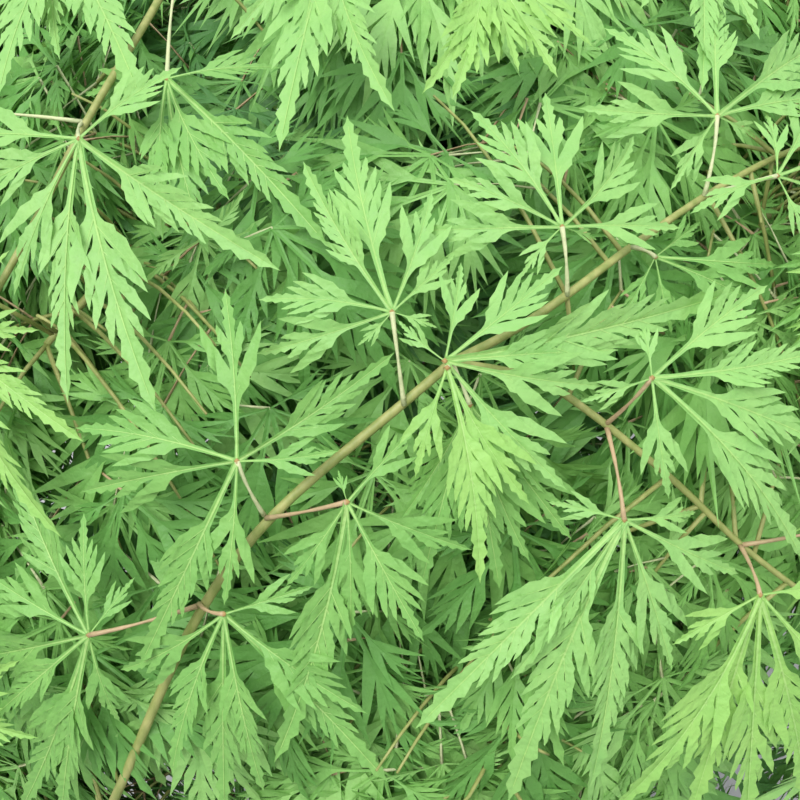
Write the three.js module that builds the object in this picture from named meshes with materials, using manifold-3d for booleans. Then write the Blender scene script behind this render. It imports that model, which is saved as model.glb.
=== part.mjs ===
// Potted laceleaf maple: a mounded, weeping crown on a short leaning trunk, in a plain round pot of soil.
// Millimetres, +Z up. The origin is the middle of the pot's flat underside.
import * as THREE from "three";
import { mergeVertices } from "three/addons/utils/BufferGeometryUtils.js";
import Module from "manifold-3d";

// The gap between neighbours that touch on the real plant, and how far leaves and twigs stay from limbs.
const SEAM = 0.3;
const LEAF_CLEARANCE = 1.2;

const POT = {
  height: 280,
  rimRadius: 166,
  footRadius: 116,
  wall: 11,
  floor: 15,
  band: 36,
  proud: 6,
  edge: 3,
  segments: 32,
};

// The soil fills the pot to below its rim. Its top is flat round the trunk and dips at the wall.
const SOIL = { below: 30, dip: 5, flat: 0.8 };

// The trunk leans towards one compass angle, in degrees, and sways back. Its foot swells into root shoulders.
const TRUNK = {
  rise: 236,
  footRadius: 15,
  forkRadius: 11,
  leanCompass: 205,
  lean: 40,
  sway: 34,
  shoulders: 5,
  shoulderSwell: 12,
  shoulderHeight: 26,
  sides: 14,
  rings: 12,
};

// The crown is a dome over the pot's axis. Its skirt hangs below its widest line, where it draws in slowly.
const CROWN = { middle: 545, radius: 378, height: 325, drawIn: 0.4, seed: 7 };

// Tiers of foliage from the top down. Polar angles are degrees from straight up, shares are of the dome's radius.
// The stem of each mass starts at the polar angle and share of "from" and ends near those of "to".
const TIERS = [
  { name: "top", count: 1, compass: 60, from: [2, 0.62], to: [10, 0.95], spread: 104, leaves: 12, limb: 7.5 },
  { name: "upper", count: 5, compass: 18, from: [24, 0.66], to: [52, 0.94], spread: 100, leaves: 9, limb: 7.0 },
  { name: "middle", count: 8, compass: 270, from: [52, 0.7], to: [82, 0.95], spread: 92, leaves: 8, limb: 5.6 },
  { name: "skirt", count: 9, compass: 250, from: [84, 0.74], to: [119, 0.94], spread: 86, leaves: 9, limb: 4.6 },
];
const UNEVEN = { compass: 12, turn: 16, polar: 8 };

// A mass's middle lies this share of the way along its stem. No leaf comes nearer than the margin to the space
// of the next mass, or lower than the lowest height.
const MASS = { middle: 0.62, margin: 1.5, lowest: 292 };

// Boughs: the share of the limb below at which the first starts and the step to the next, how far they set out
// and up before they arch over, and how they arrive at their mass, all as shares of their reach.
const BOUGH = {
  tipRadius: 3,
  leaderAt: 0.985,
  forksAt: 0.8,
  forkStep: 0.035,
  branchAt: 0.34,
  branchStep: 0.14,
  out: 0.22,
  up: 0.3,
  arrive: 0.32,
  thinner: 0.86,
  sides: 6,
  rings: 5,
};

// The stem of a mass arches by the given rise. Twigs leave it at a forward lean, rolled to either side of
// straight out by angles in radians, and reach a share of their tier's spread.
const STEM = { arch: 26, radius: 3.6, tipRadius: 2, sides: 4, rings: 3 };
const TWIG = {
  from: 0.1,
  to: 0.98,
  thinner: 0.6,
  tipRadius: 0.8,
  sides: 3,
  lean: 0.45,
  rolls: [0.5, 1.9],
  reaches: [0.35, 1.05],
};

// A leaf: the length of its middle lobe, its thickness at the stalk, the depth of the waists between lobes and
// the droop of the tips as shares of the length, and how far it swings to its twig and dips towards the dome.
// Later tries in a mass are smaller by up to the given share, so that they fit between the first ones.
const LEAF = {
  length: 86,
  thickness: 3.2,
  waist: 0.35,
  droop: 0.24,
  swing: 0.7,
  dip: 0.22,
  uneven: 0.16,
  smaller: 0.38,
  tries: 500,
};

// The lobes of a leaf: the turn from the middle lobe in degrees, and the length beside the middle lobe's.
const LOBES = [
  [0, 1],
  [40, 0.93],
  [88, 0.72],
  [-88, 0.72],
  [-40, 0.93],
];

// What joining leaves thinner than this is smoothed away.
const FINEST = 0.1;

const UP = new THREE.Vector3(0, 0, 1);
const DOME_MIDDLE = new THREE.Vector3(0, 0, CROWN.middle);
const { degToRad, lerp } = THREE.MathUtils;

const wasm = await Module();
wasm.setup();

// A seeded source of numbers from 0 to 1.
function seededNumbers(seed) {
  let state = (seed * 2654435761) >>> 0;
  return () => {
    state = (Math.imul(state, 1664525) + 1013904223) >>> 0;
    return state / 4294967296;
  };
}

// A closed geometry as a solid that can be joined and cut.
function solidOf(geometry) {
  geometry.deleteAttribute("normal");
  geometry.deleteAttribute("uv");
  const merged = mergeVertices(geometry, 1e-3);
  const mesh = new wasm.Mesh({
    numProp: 3,
    vertProperties: new Float32Array(merged.attributes.position.array),
    triVerts: new Uint32Array(merged.index.array),
  });
  return new wasm.Manifold(mesh);
}

function geometryOf(solid) {
  const mesh = solid.getMesh();
  const geometry = new THREE.BufferGeometry();
  geometry.setAttribute("position", new THREE.BufferAttribute(mesh.vertProperties, 3));
  geometry.setIndex(new THREE.BufferAttribute(mesh.triVerts, 1));
  geometry.computeVertexNormals();
  return geometry;
}

function joined(solids) {
  return solids.reduce((sum, solid) => sum.add(solid));
}

// The largest body of a solid. Loose scraps go, and so do the walls of sealed hollows, which fills them.
function mainBody(solid) {
  return solid.decompose().reduce((best, body) => (body.volume() > best.volume() ? body : best));
}

function taper(start, end) {
  return (along) => lerp(start, end, along);
}

// A round limb: the rings of a cylinder are laid along a curve, each as wide as radiusAt says.
function limbGeometry(curve, radiusAt, sides, rings) {
  const geometry = new THREE.CylinderGeometry(1, 1, 1, sides, rings);
  const frames = curve.computeFrenetFrames(rings, false);
  const position = geometry.attributes.position;
  for (let i = 0; i < position.count; i++) {
    const along = position.getY(i) + 0.5;
    const ring = Math.round(along * rings);
    const across = new THREE.Vector3()
      .addScaledVector(frames.normals[ring], position.getX(i))
      .addScaledVector(frames.binormals[ring], -position.getZ(i));
    const point = curve.getPointAt(along).addScaledVector(across, radiusAt(along, across));
    position.setXYZ(i, point.x, point.y, point.z);
  }
  return geometry;
}

function turnedGeometry(profile) {
  const points = profile.map(([radius, height]) => new THREE.Vector2(radius, height));
  return new THREE.LatheGeometry(points, POT.segments).rotateX(Math.PI / 2);
}

function potRadiusAt(height) {
  return lerp(POT.footRadius, POT.rimRadius - POT.proud, height / POT.height);
}

// A tapering pot with a flat foot and a band round its rim. Its edges are eased.
function potGeometry() {
  const { height, rimRadius, footRadius, wall, floor, band, proud, edge } = POT;
  const bandFoot = height - band;
  return turnedGeometry([
    [0, 0],
    [footRadius - edge, 0],
    [potRadiusAt(edge), edge],
    [potRadiusAt(bandFoot - proud), bandFoot - proud],
    [rimRadius, bandFoot],
    [rimRadius, height - edge],
    [rimRadius - edge, height],
    [potRadiusAt(height) - wall + edge, height],
    [potRadiusAt(height) - wall, height - edge],
    [potRadiusAt(floor) - wall, floor],
    [0, floor],
  ]);
}

const soilTop = POT.height - SOIL.below;

function soilGeometry() {
  const inside = (height) => potRadiusAt(height) - POT.wall - 2 * SEAM;
  const bottom = POT.floor + SEAM;
  const shore = soilTop - SOIL.dip;
  return turnedGeometry([
    [0, bottom],
    [inside(bottom), bottom],
    [inside(shore), shore],
    [inside(soilTop) * SOIL.flat, soilTop],
    [0, soilTop],
  ]);
}

// The trunk rises straight from its flat cut at the soil, sways to its leaning side and comes most of the way back.
function trunkCurve() {
  const compass = degToRad(TRUNK.leanCompass);
  const side = new THREE.Vector3(Math.cos(compass), Math.sin(compass), 0);
  const foot = new THREE.Vector3(0, 0, soilTop + SEAM);
  const at = (rise, aside) => foot.clone().addScaledVector(UP, TRUNK.rise * rise).addScaledVector(side, aside);
  const belly = at(0.62, TRUNK.lean + TRUNK.sway);
  return new THREE.CubicBezierCurve3(foot, at(0.35, 0), belly, at(1, TRUNK.lean * 0.3));
}

function trunkRadius(along, across) {
  const swell = Math.exp((-along * TRUNK.rise) / TRUNK.shoulderHeight);
  const shoulder = 0.72 + 0.28 * Math.cos(TRUNK.shoulders * Math.atan2(across.y, across.x));
  return lerp(TRUNK.footRadius, TRUNK.forkRadius, along) + TRUNK.shoulderSwell * swell * shoulder;
}

function trunkSolid(extra = 0) {
  const radius = (along, across) => trunkRadius(along, across) + extra;
  return solidOf(limbGeometry(trunkCurve(), radius, TRUNK.sides, TRUNK.rings));
}

// A point of the dome, by polar angle and compass angle in degrees and by share of the dome's radius.
function domePoint(polar, compass, share) {
  const down = degToRad(polar);
  const turn = degToRad(compass);
  const wide = CROWN.radius * (polar > 90 ? Math.sin(down) ** CROWN.drawIn : Math.sin(down));
  const offset = new THREE.Vector3(wide * Math.cos(turn), wide * Math.sin(turn), CROWN.height * Math.cos(down));
  return DOME_MIDDLE.clone().addScaledVector(offset, share);
}

// Every mass of foliage: its tier, its compass angle, its middle, and the curve that its stem follows.
function plannedMasses() {
  const masses = [];
  for (const tier of TIERS) {
    const random = seededNumbers(CROWN.seed + tier.count);
    const uneven = (range) => (random() - 0.5) * range;
    for (let i = 0; i < tier.count; i++) {
      const compass = tier.compass + (360 * i) / tier.count + uneven(UNEVEN.compass);
      const turned = compass + uneven(UNEVEN.turn);
      const start = domePoint(tier.from[0], compass, tier.from[1]);
      const end = domePoint(tier.to[0] + uneven(UNEVEN.polar), turned, tier.to[1]);
      const outward = domePoint((tier.from[0] + tier.to[0]) / 2, compass, 1).sub(DOME_MIDDLE).normalize();
      const crest = start.clone().lerp(end, 0.5).addScaledVector(outward, STEM.arch);
      masses.push({
        name: tier.count === 1 ? tier.name : `${tier.name}_${i + 1}`,
        tier,
        compass,
        middle: start.clone().lerp(end, MASS.middle),
        curve: new THREE.QuadraticBezierCurve3(start, crest, end),
        seed: CROWN.seed * 100 + masses.length,
      });
    }
  }
  return masses;
}

function angleBetween(a, b) {
  return Math.abs(((a - b + 540) % 360) - 180);
}

// Where a bough leaves the plant: the trunk's tip, the trunk below it, or the nearest bough of the tier above.
function boughRoot(mass, boughs) {
  const trunk = trunkCurve();
  if (mass.tier.count === 1) return { point: trunk.getPointAt(BOUGH.leaderAt), radius: TRUNK.forkRadius };
  const above = TIERS[TIERS.indexOf(mass.tier) - 1];
  const parents = boughs.filter((bough) => bough.tier === above && above.count > 1);
  if (parents.length === 0) {
    const share = BOUGH.forksAt + BOUGH.forkStep * (boughs.length % mass.tier.count);
    return { point: trunk.getPointAt(share), radius: TRUNK.forkRadius };
  }
  const turnTo = (bough) => angleBetween(bough.compass, mass.compass);
  const parent = parents.reduce((best, bough) => (turnTo(bough) < turnTo(best) ? bough : best));
  const share = BOUGH.branchAt + BOUGH.branchStep * parent.branches;
  parent.branches += 1;
  return { point: parent.curve.getPointAt(share), radius: parent.radius(share) };
}

// One bough for each mass, arching from its root to the start of the mass's stem.
function plannedBoughs(masses) {
  const boughs = [];
  for (const mass of masses) {
    const root = boughRoot(mass, boughs);
    const end = mass.curve.getPoint(0);
    const reach = root.point.distanceTo(end);
    const outward = new THREE.Vector3(end.x - root.point.x, end.y - root.point.y, 0).normalize();
    const leave = root.point.clone().addScaledVector(outward, reach * BOUGH.out);
    leave.addScaledVector(UP, reach * BOUGH.up);
    const arrive = end.clone().addScaledVector(mass.curve.getTangent(0), -reach * BOUGH.arrive);
    boughs.push({
      name: `bough_${mass.name}`,
      tier: mass.tier,
      compass: mass.compass,
      curve: new THREE.CubicBezierCurve3(root.point, leave, arrive, end),
      radius: taper(Math.min(mass.tier.limb, root.radius * BOUGH.thinner), BOUGH.tipRadius),
      branches: 0,
    });
  }
  return boughs;
}

function boughSolid(bough, extra = 0) {
  const radius = (along) => bough.radius(along) + extra;
  return solidOf(limbGeometry(bough.curve, radius, BOUGH.sides, BOUGH.rings));
}

// Each limb is cut clear of the limbs before it, so it starts a seam away from what carries it.
function limbSolids(boughs) {
  const solids = new Map([["trunk", trunkSolid()]]);
  let taken = trunkSolid(SEAM);
  for (const bough of boughs) {
    solids.set(bough.name, mainBody(boughSolid(bough).subtract(taken)));
    taken = taken.add(boughSolid(bough, SEAM));
  }
  return solids;
}

// A leaf in its own plane: +Y along the middle lobe, +Z out of the upper face, its stalk's end at the origin.
// The rim of a flat double cone is pushed out to the tips of the lobes and in to the waists between them.
function leafGeometry(length) {
  const half = LEAF.thickness / 2;
  const profile = [new THREE.Vector2(0, -half), new THREE.Vector2(1, 0), new THREE.Vector2(0, half)];
  const columns = LOBES.length * 2;
  const geometry = new THREE.LatheGeometry(profile, columns).rotateX(Math.PI / 2);
  const position = geometry.attributes.position;
  for (let i = 0; i < position.count; i++) {
    const onRim = i % profile.length === 1;
    if (!onRim) continue;
    const column = Math.floor(i / profile.length) % columns;
    const lobe = Math.floor(column / 2);
    const [turn, share] = LOBES[lobe];
    const [nextTurn] = LOBES[(lobe + 1) % LOBES.length];
    const isTip = column % 2 === 0;
    const waistTurn = turn + ((nextTurn - turn + 360) % 360) / 2;
    const angle = degToRad(isTip ? turn : waistTurn);
    const reach = length * (isTip ? share : LEAF.waist);
    const droop = isTip ? LEAF.droop * length * share * share : 0;
    position.setXYZ(i, -Math.sin(angle) * reach, Math.cos(angle) * reach, -droop);
  }
  return geometry;
}

// A leaf lies on the dome as a shingle does: its face outward, its middle lobe downhill and a little inward,
// swung towards the heading of its twig.
function shingledLeaf(at, heading, length) {
  const out = at.clone().sub(DOME_MIDDLE).normalize();
  const downhill = out.clone().multiplyScalar(out.z).sub(UP).normalize();
  const aside = heading.clone().addScaledVector(out, -heading.dot(out));
  const lobe = downhill.addScaledVector(aside, LEAF.swing).addScaledVector(out, -LEAF.dip).normalize();
  const face = out.addScaledVector(lobe, -out.dot(lobe)).normalize();
  const basis = new THREE.Matrix4().makeBasis(lobe.clone().cross(face), lobe, face).setPosition(at);
  return leafGeometry(length).applyMatrix4(basis);
}

function twigGeometry(from, to, startRadius) {
  return limbGeometry(new THREE.LineCurve3(from, to), taper(startRadius, TWIG.tipRadius), TWIG.sides, 1);
}

// The stem of a mass follows the mass's curve, from a seam beyond the tip of its bough.
function stemCurveOf({ curve }) {
  const start = curve.getPoint(0).addScaledVector(curve.getTangent(0), SEAM);
  return new THREE.QuadraticBezierCurve3(start, curve.v1, curve.v2);
}

const stemRadius = taper(STEM.radius, STEM.tipRadius);

function stemSolidOf(mass, extra = 0) {
  const radius = (along) => stemRadius(along) + extra;
  return solidOf(limbGeometry(stemCurveOf(mass), radius, STEM.sides, STEM.rings));
}

// The space of a mass: all that is nearer to its middle than to any other mass's, less the margin.
function spaceOf(mass, masses) {
  const walls = masses
    .filter((other) => other !== mass)
    .map((other) => {
      const out = other.middle.clone().sub(mass.middle).normalize();
      const halfway = mass.middle.clone().lerp(other.middle, 0.5);
      return new THREE.Plane(out, MASS.margin - out.dot(halfway));
    });
  walls.push(new THREE.Plane(UP.clone().negate(), MASS.lowest));
  const point = new THREE.Vector3();
  return ({ attributes: { position } }) => {
    for (let i = 0; i < position.count; i++) {
      point.fromBufferAttribute(position, i);
      if (walls.some((wall) => wall.distanceToPoint(point) > 0)) return false;
    }
    return true;
  };
}

// A mass of foliage: one stem, with twigs all round its outer side and a leaf at the end of each.
// A twig or leaf that would leave the mass's space or touch a limb or another leaf is left out.
function massSolid(mass, masses, limbs) {
  const random = seededNumbers(mass.seed);
  const between = ([low, high]) => lerp(low, high, random());
  const isInside = spaceOf(mass, masses);
  const others = masses.filter((other) => other !== mass);
  const obstacles = joined([limbs, ...others.map((other) => stemSolidOf(other, LEAF_CLEARANCE))]);
  const stemCurve = stemCurveOf(mass);
  const stem = stemSolidOf(mass);
  const pieces = [stem];

  // Adds a piece where it fits, touching nothing but the pieces that it grows from, and returns its solid.
  const grow = (geometry, from) => {
    if (!isInside(geometry)) return null;
    const solid = solidOf(geometry);
    const touches = (piece) => !solid.intersect(piece).isEmpty();
    if (touches(obstacles) || pieces.some((piece) => !from.includes(piece) && touches(piece))) return null;
    pieces.push(solid);
    return solid;
  };

  grow(shingledLeaf(stemCurve.getPoint(1), stemCurve.getTangent(1), LEAF.length), [stem]);
  let leaves = 0;
  for (let attempt = 0; attempt < LEAF.tries && leaves < mass.tier.leaves; attempt++) {
    const along = between([TWIG.from, TWIG.to]);
    const root = stemCurve.getPoint(along);
    const tangent = stemCurve.getTangent(along);
    const sideways = tangent.clone().cross(root.clone().sub(DOME_MIDDLE)).normalize();
    const face = sideways.clone().cross(tangent).normalize();
    const roll = between(TWIG.rolls) * (attempt % 2 ? 1 : -1);
    const reach = mass.tier.spread * between(TWIG.reaches);
    const shrunk = 1 - (LEAF.smaller * attempt) / LEAF.tries;
    const length = LEAF.length * shrunk * (1 + LEAF.uneven * (random() - 0.5));
    const heading = sideways.multiplyScalar(Math.sin(roll)).addScaledVector(face, Math.cos(roll));
    heading.addScaledVector(tangent, TWIG.lean).normalize();
    const end = root.clone().addScaledVector(heading, reach);
    const leaf = grow(shingledLeaf(end, heading, length), []);
    if (!leaf) continue;
    if (grow(twigGeometry(root, end, stemRadius(along) * TWIG.thinner), [stem, leaf])) leaves += 1;
    else pieces.pop();
  }
  return mainBody(joined(pieces)).simplify(FINEST);
}

const finishes = {
  pot: { color: 0x4c5053, roughness: 0.7, metalness: 0 },
  soil: { color: 0x3b2c20, roughness: 1, metalness: 0 },
  bark: { color: 0x8c8262, roughness: 0.85, metalness: 0 },
  leaf: { color: 0x8fcb62, roughness: 0.55, metalness: 0 },
};

const group = new THREE.Group();

function addNode(name, geometry, finish) {
  const mesh = new THREE.Mesh(geometry, new THREE.MeshStandardMaterial(finish));
  mesh.name = name;
  group.add(mesh);
}

const masses = plannedMasses();
const boughs = plannedBoughs(masses);
const widenedBoughs = boughs.map((bough) => boughSolid(bough, LEAF_CLEARANCE));
const limbs = joined([trunkSolid(LEAF_CLEARANCE), ...widenedBoughs]);

addNode("pot", potGeometry(), finishes.pot);
addNode("soil", soilGeometry(), finishes.soil);
for (const [name, solid] of limbSolids(boughs)) addNode(name, geometryOf(solid), finishes.bark);
for (const mass of masses) {
  addNode(`foliage_${mass.name}`, geometryOf(massSolid(mass, masses, limbs)), finishes.leaf);
}

export default group;
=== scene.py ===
"""Looks of the potted laceleaf maple: bark, twigs, deeply cut leaves, soil, pot, soft light and a camera.

Everything is in metres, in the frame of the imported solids. The crown grows here by the rule of the solids,
from the same named sizes and seeded numbers, and is carried on to finer twigs with leaves of true size.
"""
import logging
import math
from collections import defaultdict
from dataclasses import dataclass, field
from enum import Enum
from typing import Callable, Iterable

import bmesh
import bpy
import numpy as np
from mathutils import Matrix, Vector, noise


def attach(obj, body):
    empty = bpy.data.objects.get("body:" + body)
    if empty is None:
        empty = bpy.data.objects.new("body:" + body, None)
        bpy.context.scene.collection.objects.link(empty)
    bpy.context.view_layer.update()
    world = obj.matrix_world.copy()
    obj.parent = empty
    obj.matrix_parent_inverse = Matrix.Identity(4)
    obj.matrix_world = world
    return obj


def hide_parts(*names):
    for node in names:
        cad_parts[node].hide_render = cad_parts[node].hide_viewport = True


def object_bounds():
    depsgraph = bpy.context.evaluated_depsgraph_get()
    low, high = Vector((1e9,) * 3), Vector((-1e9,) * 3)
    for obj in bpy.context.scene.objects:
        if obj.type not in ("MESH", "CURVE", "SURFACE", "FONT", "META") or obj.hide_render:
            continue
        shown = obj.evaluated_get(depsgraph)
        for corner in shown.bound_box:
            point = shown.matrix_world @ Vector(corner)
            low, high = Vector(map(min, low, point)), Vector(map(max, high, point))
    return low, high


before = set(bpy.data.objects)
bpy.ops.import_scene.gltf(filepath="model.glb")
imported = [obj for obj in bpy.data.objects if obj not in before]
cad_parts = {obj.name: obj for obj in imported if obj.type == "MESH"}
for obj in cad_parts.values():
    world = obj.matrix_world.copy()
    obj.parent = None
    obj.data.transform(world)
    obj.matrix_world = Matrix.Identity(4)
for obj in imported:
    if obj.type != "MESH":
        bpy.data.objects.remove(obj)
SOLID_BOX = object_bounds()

LOG = logging.getLogger("maple")
Place = np.ndarray
Span = tuple[float, float]
Pixel = Span
Colour = tuple[float, float, float]
UP = np.array([0.0, 0.0, 1.0])
WELD = 1e-5
BODY = "root"


def unit(vector: Place) -> Place:
    """Returns the vector at length 1."""
    return vector / np.linalg.norm(vector)


def blend(start: float, end: float, share: float) -> float:
    """Returns the value at a share of the way from start to end."""
    return start + (end - start) * share


def turn_between(first: float, second: float) -> float:
    """Returns the lesser turn between two compass directions, in degrees."""
    return abs((first - second + 180) % 360 - 180)


class Numbers:
    """A seeded source of numbers from 0 to 1, the one that the solids are worked out with."""

    RANGE = 2**32
    SCATTER = 2654435761
    FACTOR = 1664525
    STEP = 1013904223

    def __init__(self, seed: int) -> None:
        """Starts the row of numbers that a whole number picks."""
        self._state = seed * self.SCATTER % self.RANGE

    def draw(self) -> float:
        """Returns the next number."""
        self._state = (self._state * self.FACTOR + self.STEP) % self.RANGE
        return self._state / self.RANGE

    def between(self, low: float, high: float) -> float:
        """Returns the next number, stretched to lie between low and high."""
        return blend(low, high, self.draw())

    def about(self, range_: float) -> float:
        """Returns the next number, from minus half the range to half the range."""
        return (self.draw() - 0.5) * range_


class Curve:
    """A smooth curve through space, drawn by its control points."""

    STEPS = 200
    SMALL_STEP = 1e-4

    def __init__(self, *controls: Place) -> None:
        """Measures the curve.

        Args:
            controls: Three or more control points.
        """
        self._controls = [np.asarray(point, float) for point in controls]
        self._shares = np.linspace(0, 1, self.STEPS + 1)
        track = self.at(self._shares)
        steps = np.linalg.norm(np.diff(track, axis=0), axis=1)
        self._travelled = np.concatenate([[0.0], np.cumsum(steps)])

    def at(self, share: float | Place) -> Place:
        """Finds the point or points at shares of the curve's own run.

        Args:
            share: One share, or an array of them.

        Returns:
            The point, or the points by 3.
        """
        share = np.asarray(share, float)[..., None]
        layer = [point + 0 * share for point in self._controls]
        while len(layer) > 1:
            layer = [first + (second - first) * share for first, second in zip(layer, layer[1:])]
        return layer[0]

    def evenly(self, share: float | Place) -> Place:
        """Returns the point or points at shares of the curve's length."""
        return self.at(np.interp(np.asarray(share) * self._travelled[-1], self._travelled, self._shares))

    def heading(self, share: float) -> Place:
        """Returns the direction of the curve at a share of its run."""
        return unit(self.at(min(share + self.SMALL_STEP, 1)) - self.at(max(share - self.SMALL_STEP, 0)))


@dataclass(frozen=True)
class Tier:
    """One ring of foliage masses round the crown, as in the solids, with the sprays of each mass.

    A stem's start and end are each degrees from straight up and a share of the dome's radius. Spread is how
    far its twigs reach, and limb is how wide its bough is at the foot.
    """

    name: str
    count: int
    compass: float
    start: Span
    end: Span
    spread: float
    limb: float
    sprays: int


@dataclass
class Mass:
    """One mass of foliage: its ring, where it hangs, the curve of its stem and the seed of its twigs."""

    name: str
    tier: Tier
    compass: float
    curve: Curve
    seed: int


@dataclass
class Limb:
    """A trunk or bough: its curve and how wide it is along its length."""

    name: str
    tier: Tier
    compass: float
    curve: Curve
    foot_radius: float
    tip_radius: float
    branches: int = 0

    def radius(self, share: float) -> float:
        """Returns the radius at a share of the length."""
        return blend(self.foot_radius, self.tip_radius, share)


TIERS = (
    Tier("top", 1, 60, (2, 0.62), (10, 0.95), 0.104, 0.0075, 30),
    Tier("upper", 5, 18, (24, 0.66), (52, 0.94), 0.100, 0.0070, 26),
    Tier("middle", 8, 270, (52, 0.7), (82, 0.95), 0.092, 0.0056, 21),
    Tier("skirt", 9, 250, (84, 0.74), (119, 0.94), 0.086, 0.0046, 21),
)


@dataclass
class Crown:
    """The dome of foliage, its masses and the boughs that carry them, worked out as in the solids.

    Roots are shares of a limb's length: the first root's, and the step from one to the next. How a bough
    leaves its limb is given outwards and up, as shares of its reach.
    """

    SEEDS = 100

    middle: float = 0.545
    radius: float = 0.378
    height: float = 0.325
    draw_in: float = 0.4
    seed: int = 7
    stem_arch: float = 0.026
    uneven_compass: float = 12
    uneven_turn: float = 16
    uneven_polar: float = 8
    top_root: float = 0.985
    fork_roots: Span = (0.8, 0.035)
    branch_roots: Span = (0.34, 0.14)
    leave: Span = (0.22, 0.3)
    arrive: float = 0.32
    foot_share: float = 0.86
    bough_tip: float = 0.003
    masses: list[Mass] = field(default_factory=list)
    boughs: list[Limb] = field(default_factory=list)

    def __post_init__(self) -> None:
        """Plans every mass, and the bough to each."""
        self.heart = UP * self.middle
        self.trunk = Trunk()
        self._plan_masses()
        self._plan_boughs()

    def place(self, polar: float, compass: float, share: float) -> Place:
        """Finds a point of the dome.

        Args:
            polar: Degrees from straight up.
            compass: Degrees round the dome.
            share: Share of the dome's radius.

        Returns:
            The point.
        """
        down, turn = math.radians(polar), math.radians(compass)
        bulge = math.sin(down) ** self.draw_in if polar > 90 else math.sin(down)
        wide = self.radius * bulge
        offset = np.array([wide * math.cos(turn), wide * math.sin(turn), self.height * math.cos(down)])
        return self.heart + offset * share

    def share_of(self, point: Place) -> float:
        """Finds how far out a point lies. Under its widest line the dome counts as a drum.

        Args:
            point: The point.

        Returns:
            The share of the dome's radius.
        """
        offset = (point - self.heart) / np.array([self.radius, self.radius, self.height])
        offset[2] = max(offset[2], 0)
        return float(np.linalg.norm(offset))

    def outward(self, point: Place) -> Place:
        """Returns the direction out of the dome at a point."""
        return unit(point - self.heart)

    def _plan_masses(self) -> None:
        """Lays the stem of every mass."""
        for tier in TIERS:
            numbers = Numbers(self.seed + tier.count)
            for index in range(tier.count):
                compass = tier.compass + 360 * index / tier.count + numbers.about(self.uneven_compass)
                turned = compass + numbers.about(self.uneven_turn)
                start = self.place(tier.start[0], compass, tier.start[1])
                end = self.place(tier.end[0] + numbers.about(self.uneven_polar), turned, tier.end[1])
                outward = self.outward(self.place((tier.start[0] + tier.end[0]) / 2, compass, 1))
                crest = (start + end) / 2 + outward * self.stem_arch
                name = tier.name if tier.count == 1 else f"{tier.name}_{index + 1}"
                seed = self.seed * self.SEEDS + len(self.masses)
                self.masses.append(Mass(name, tier, compass, Curve(start, crest, end), seed))

    def _root_of(self, mass: Mass) -> tuple[Place, float]:
        """Finds where the bough of a mass leaves the plant, and how wide the limb is there.

        Args:
            mass: The mass that the bough goes to.

        Returns:
            The place and the radius.
        """
        if mass.tier.count == 1:
            return self.trunk.curve.evenly(self.top_root), self.trunk.fork_radius
        above = TIERS[TIERS.index(mass.tier) - 1]
        parents = [bough for bough in self.boughs if bough.tier == above and above.count > 1]
        if not parents:
            share = self.fork_roots[0] + self.fork_roots[1] * (len(self.boughs) % mass.tier.count)
            return self.trunk.curve.evenly(share), self.trunk.fork_radius
        parent = min(parents, key=lambda bough: turn_between(bough.compass, mass.compass))
        share = self.branch_roots[0] + self.branch_roots[1] * parent.branches
        parent.branches += 1
        return parent.curve.evenly(share), parent.radius(share)

    def _plan_boughs(self) -> None:
        """Lays the bough to every mass, arching from its root to the start of the stem."""
        for mass in self.masses:
            root, radius = self._root_of(mass)
            end = mass.curve.at(0)
            reach = np.linalg.norm(end - root)
            outward = unit((end - root) * (1, 1, 0))
            leave = root + outward * reach * self.leave[0] + UP * reach * self.leave[1]
            arrive = end - mass.curve.heading(0) * reach * self.arrive
            foot = min(mass.tier.limb, radius * self.foot_share)
            curve = Curve(root, leave, arrive, end)
            self.boughs.append(Limb(mass.name, mass.tier, mass.compass, curve, foot, self.bough_tip))

    def limb_points(self, count: int = 24) -> Place:
        """Returns points along the trunk and every bough."""
        shares = np.linspace(0, 1, count)
        return np.concatenate([limb.curve.evenly(shares) for limb in [self.trunk, *self.boughs]])


@dataclass
class Trunk:
    """The short leaning trunk, from the soil to its fork."""

    soil_top: float = 0.2503
    rise: float = 0.236
    foot_radius: float = 0.015
    fork_radius: float = 0.011
    lean_compass: float = 205
    lean: float = 0.04
    sway: float = 0.034
    bends: Span = (0.35, 0.62)
    top_lean: float = 0.3
    shoulders: int = 5
    shoulder_swell: float = 0.012
    shoulder_height: float = 0.026
    shoulder_waves: Span = (0.72, 0.28)

    def __post_init__(self) -> None:
        """Lays the trunk's curve."""
        compass = math.radians(self.lean_compass)
        side = np.array([math.cos(compass), math.sin(compass), 0])
        foot = UP * self.soil_top

        def lift(share: float, aside: float) -> Place:
            """Returns the point at a share of the rise, off to the leaning side."""
            return foot + UP * self.rise * share + side * aside

        top = lift(1, self.lean * self.top_lean)
        self.curve = Curve(foot, lift(self.bends[0], 0), lift(self.bends[1], self.lean + self.sway), top)

    def radius(self, share: float, across: Vector) -> float:
        """Finds the radius of the trunk with its root shoulders.

        Args:
            share: Share of the trunk's length.
            across: Direction from the trunk's middle line.

        Returns:
            The radius.
        """
        swell = math.exp(-share * self.rise / self.shoulder_height)
        even, wave = self.shoulder_waves
        shoulder = even + wave * math.cos(self.shoulders * math.atan2(across.y, across.x))
        return blend(self.foot_radius, self.fork_radius, share) + self.shoulder_swell * swell * shoulder


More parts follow.
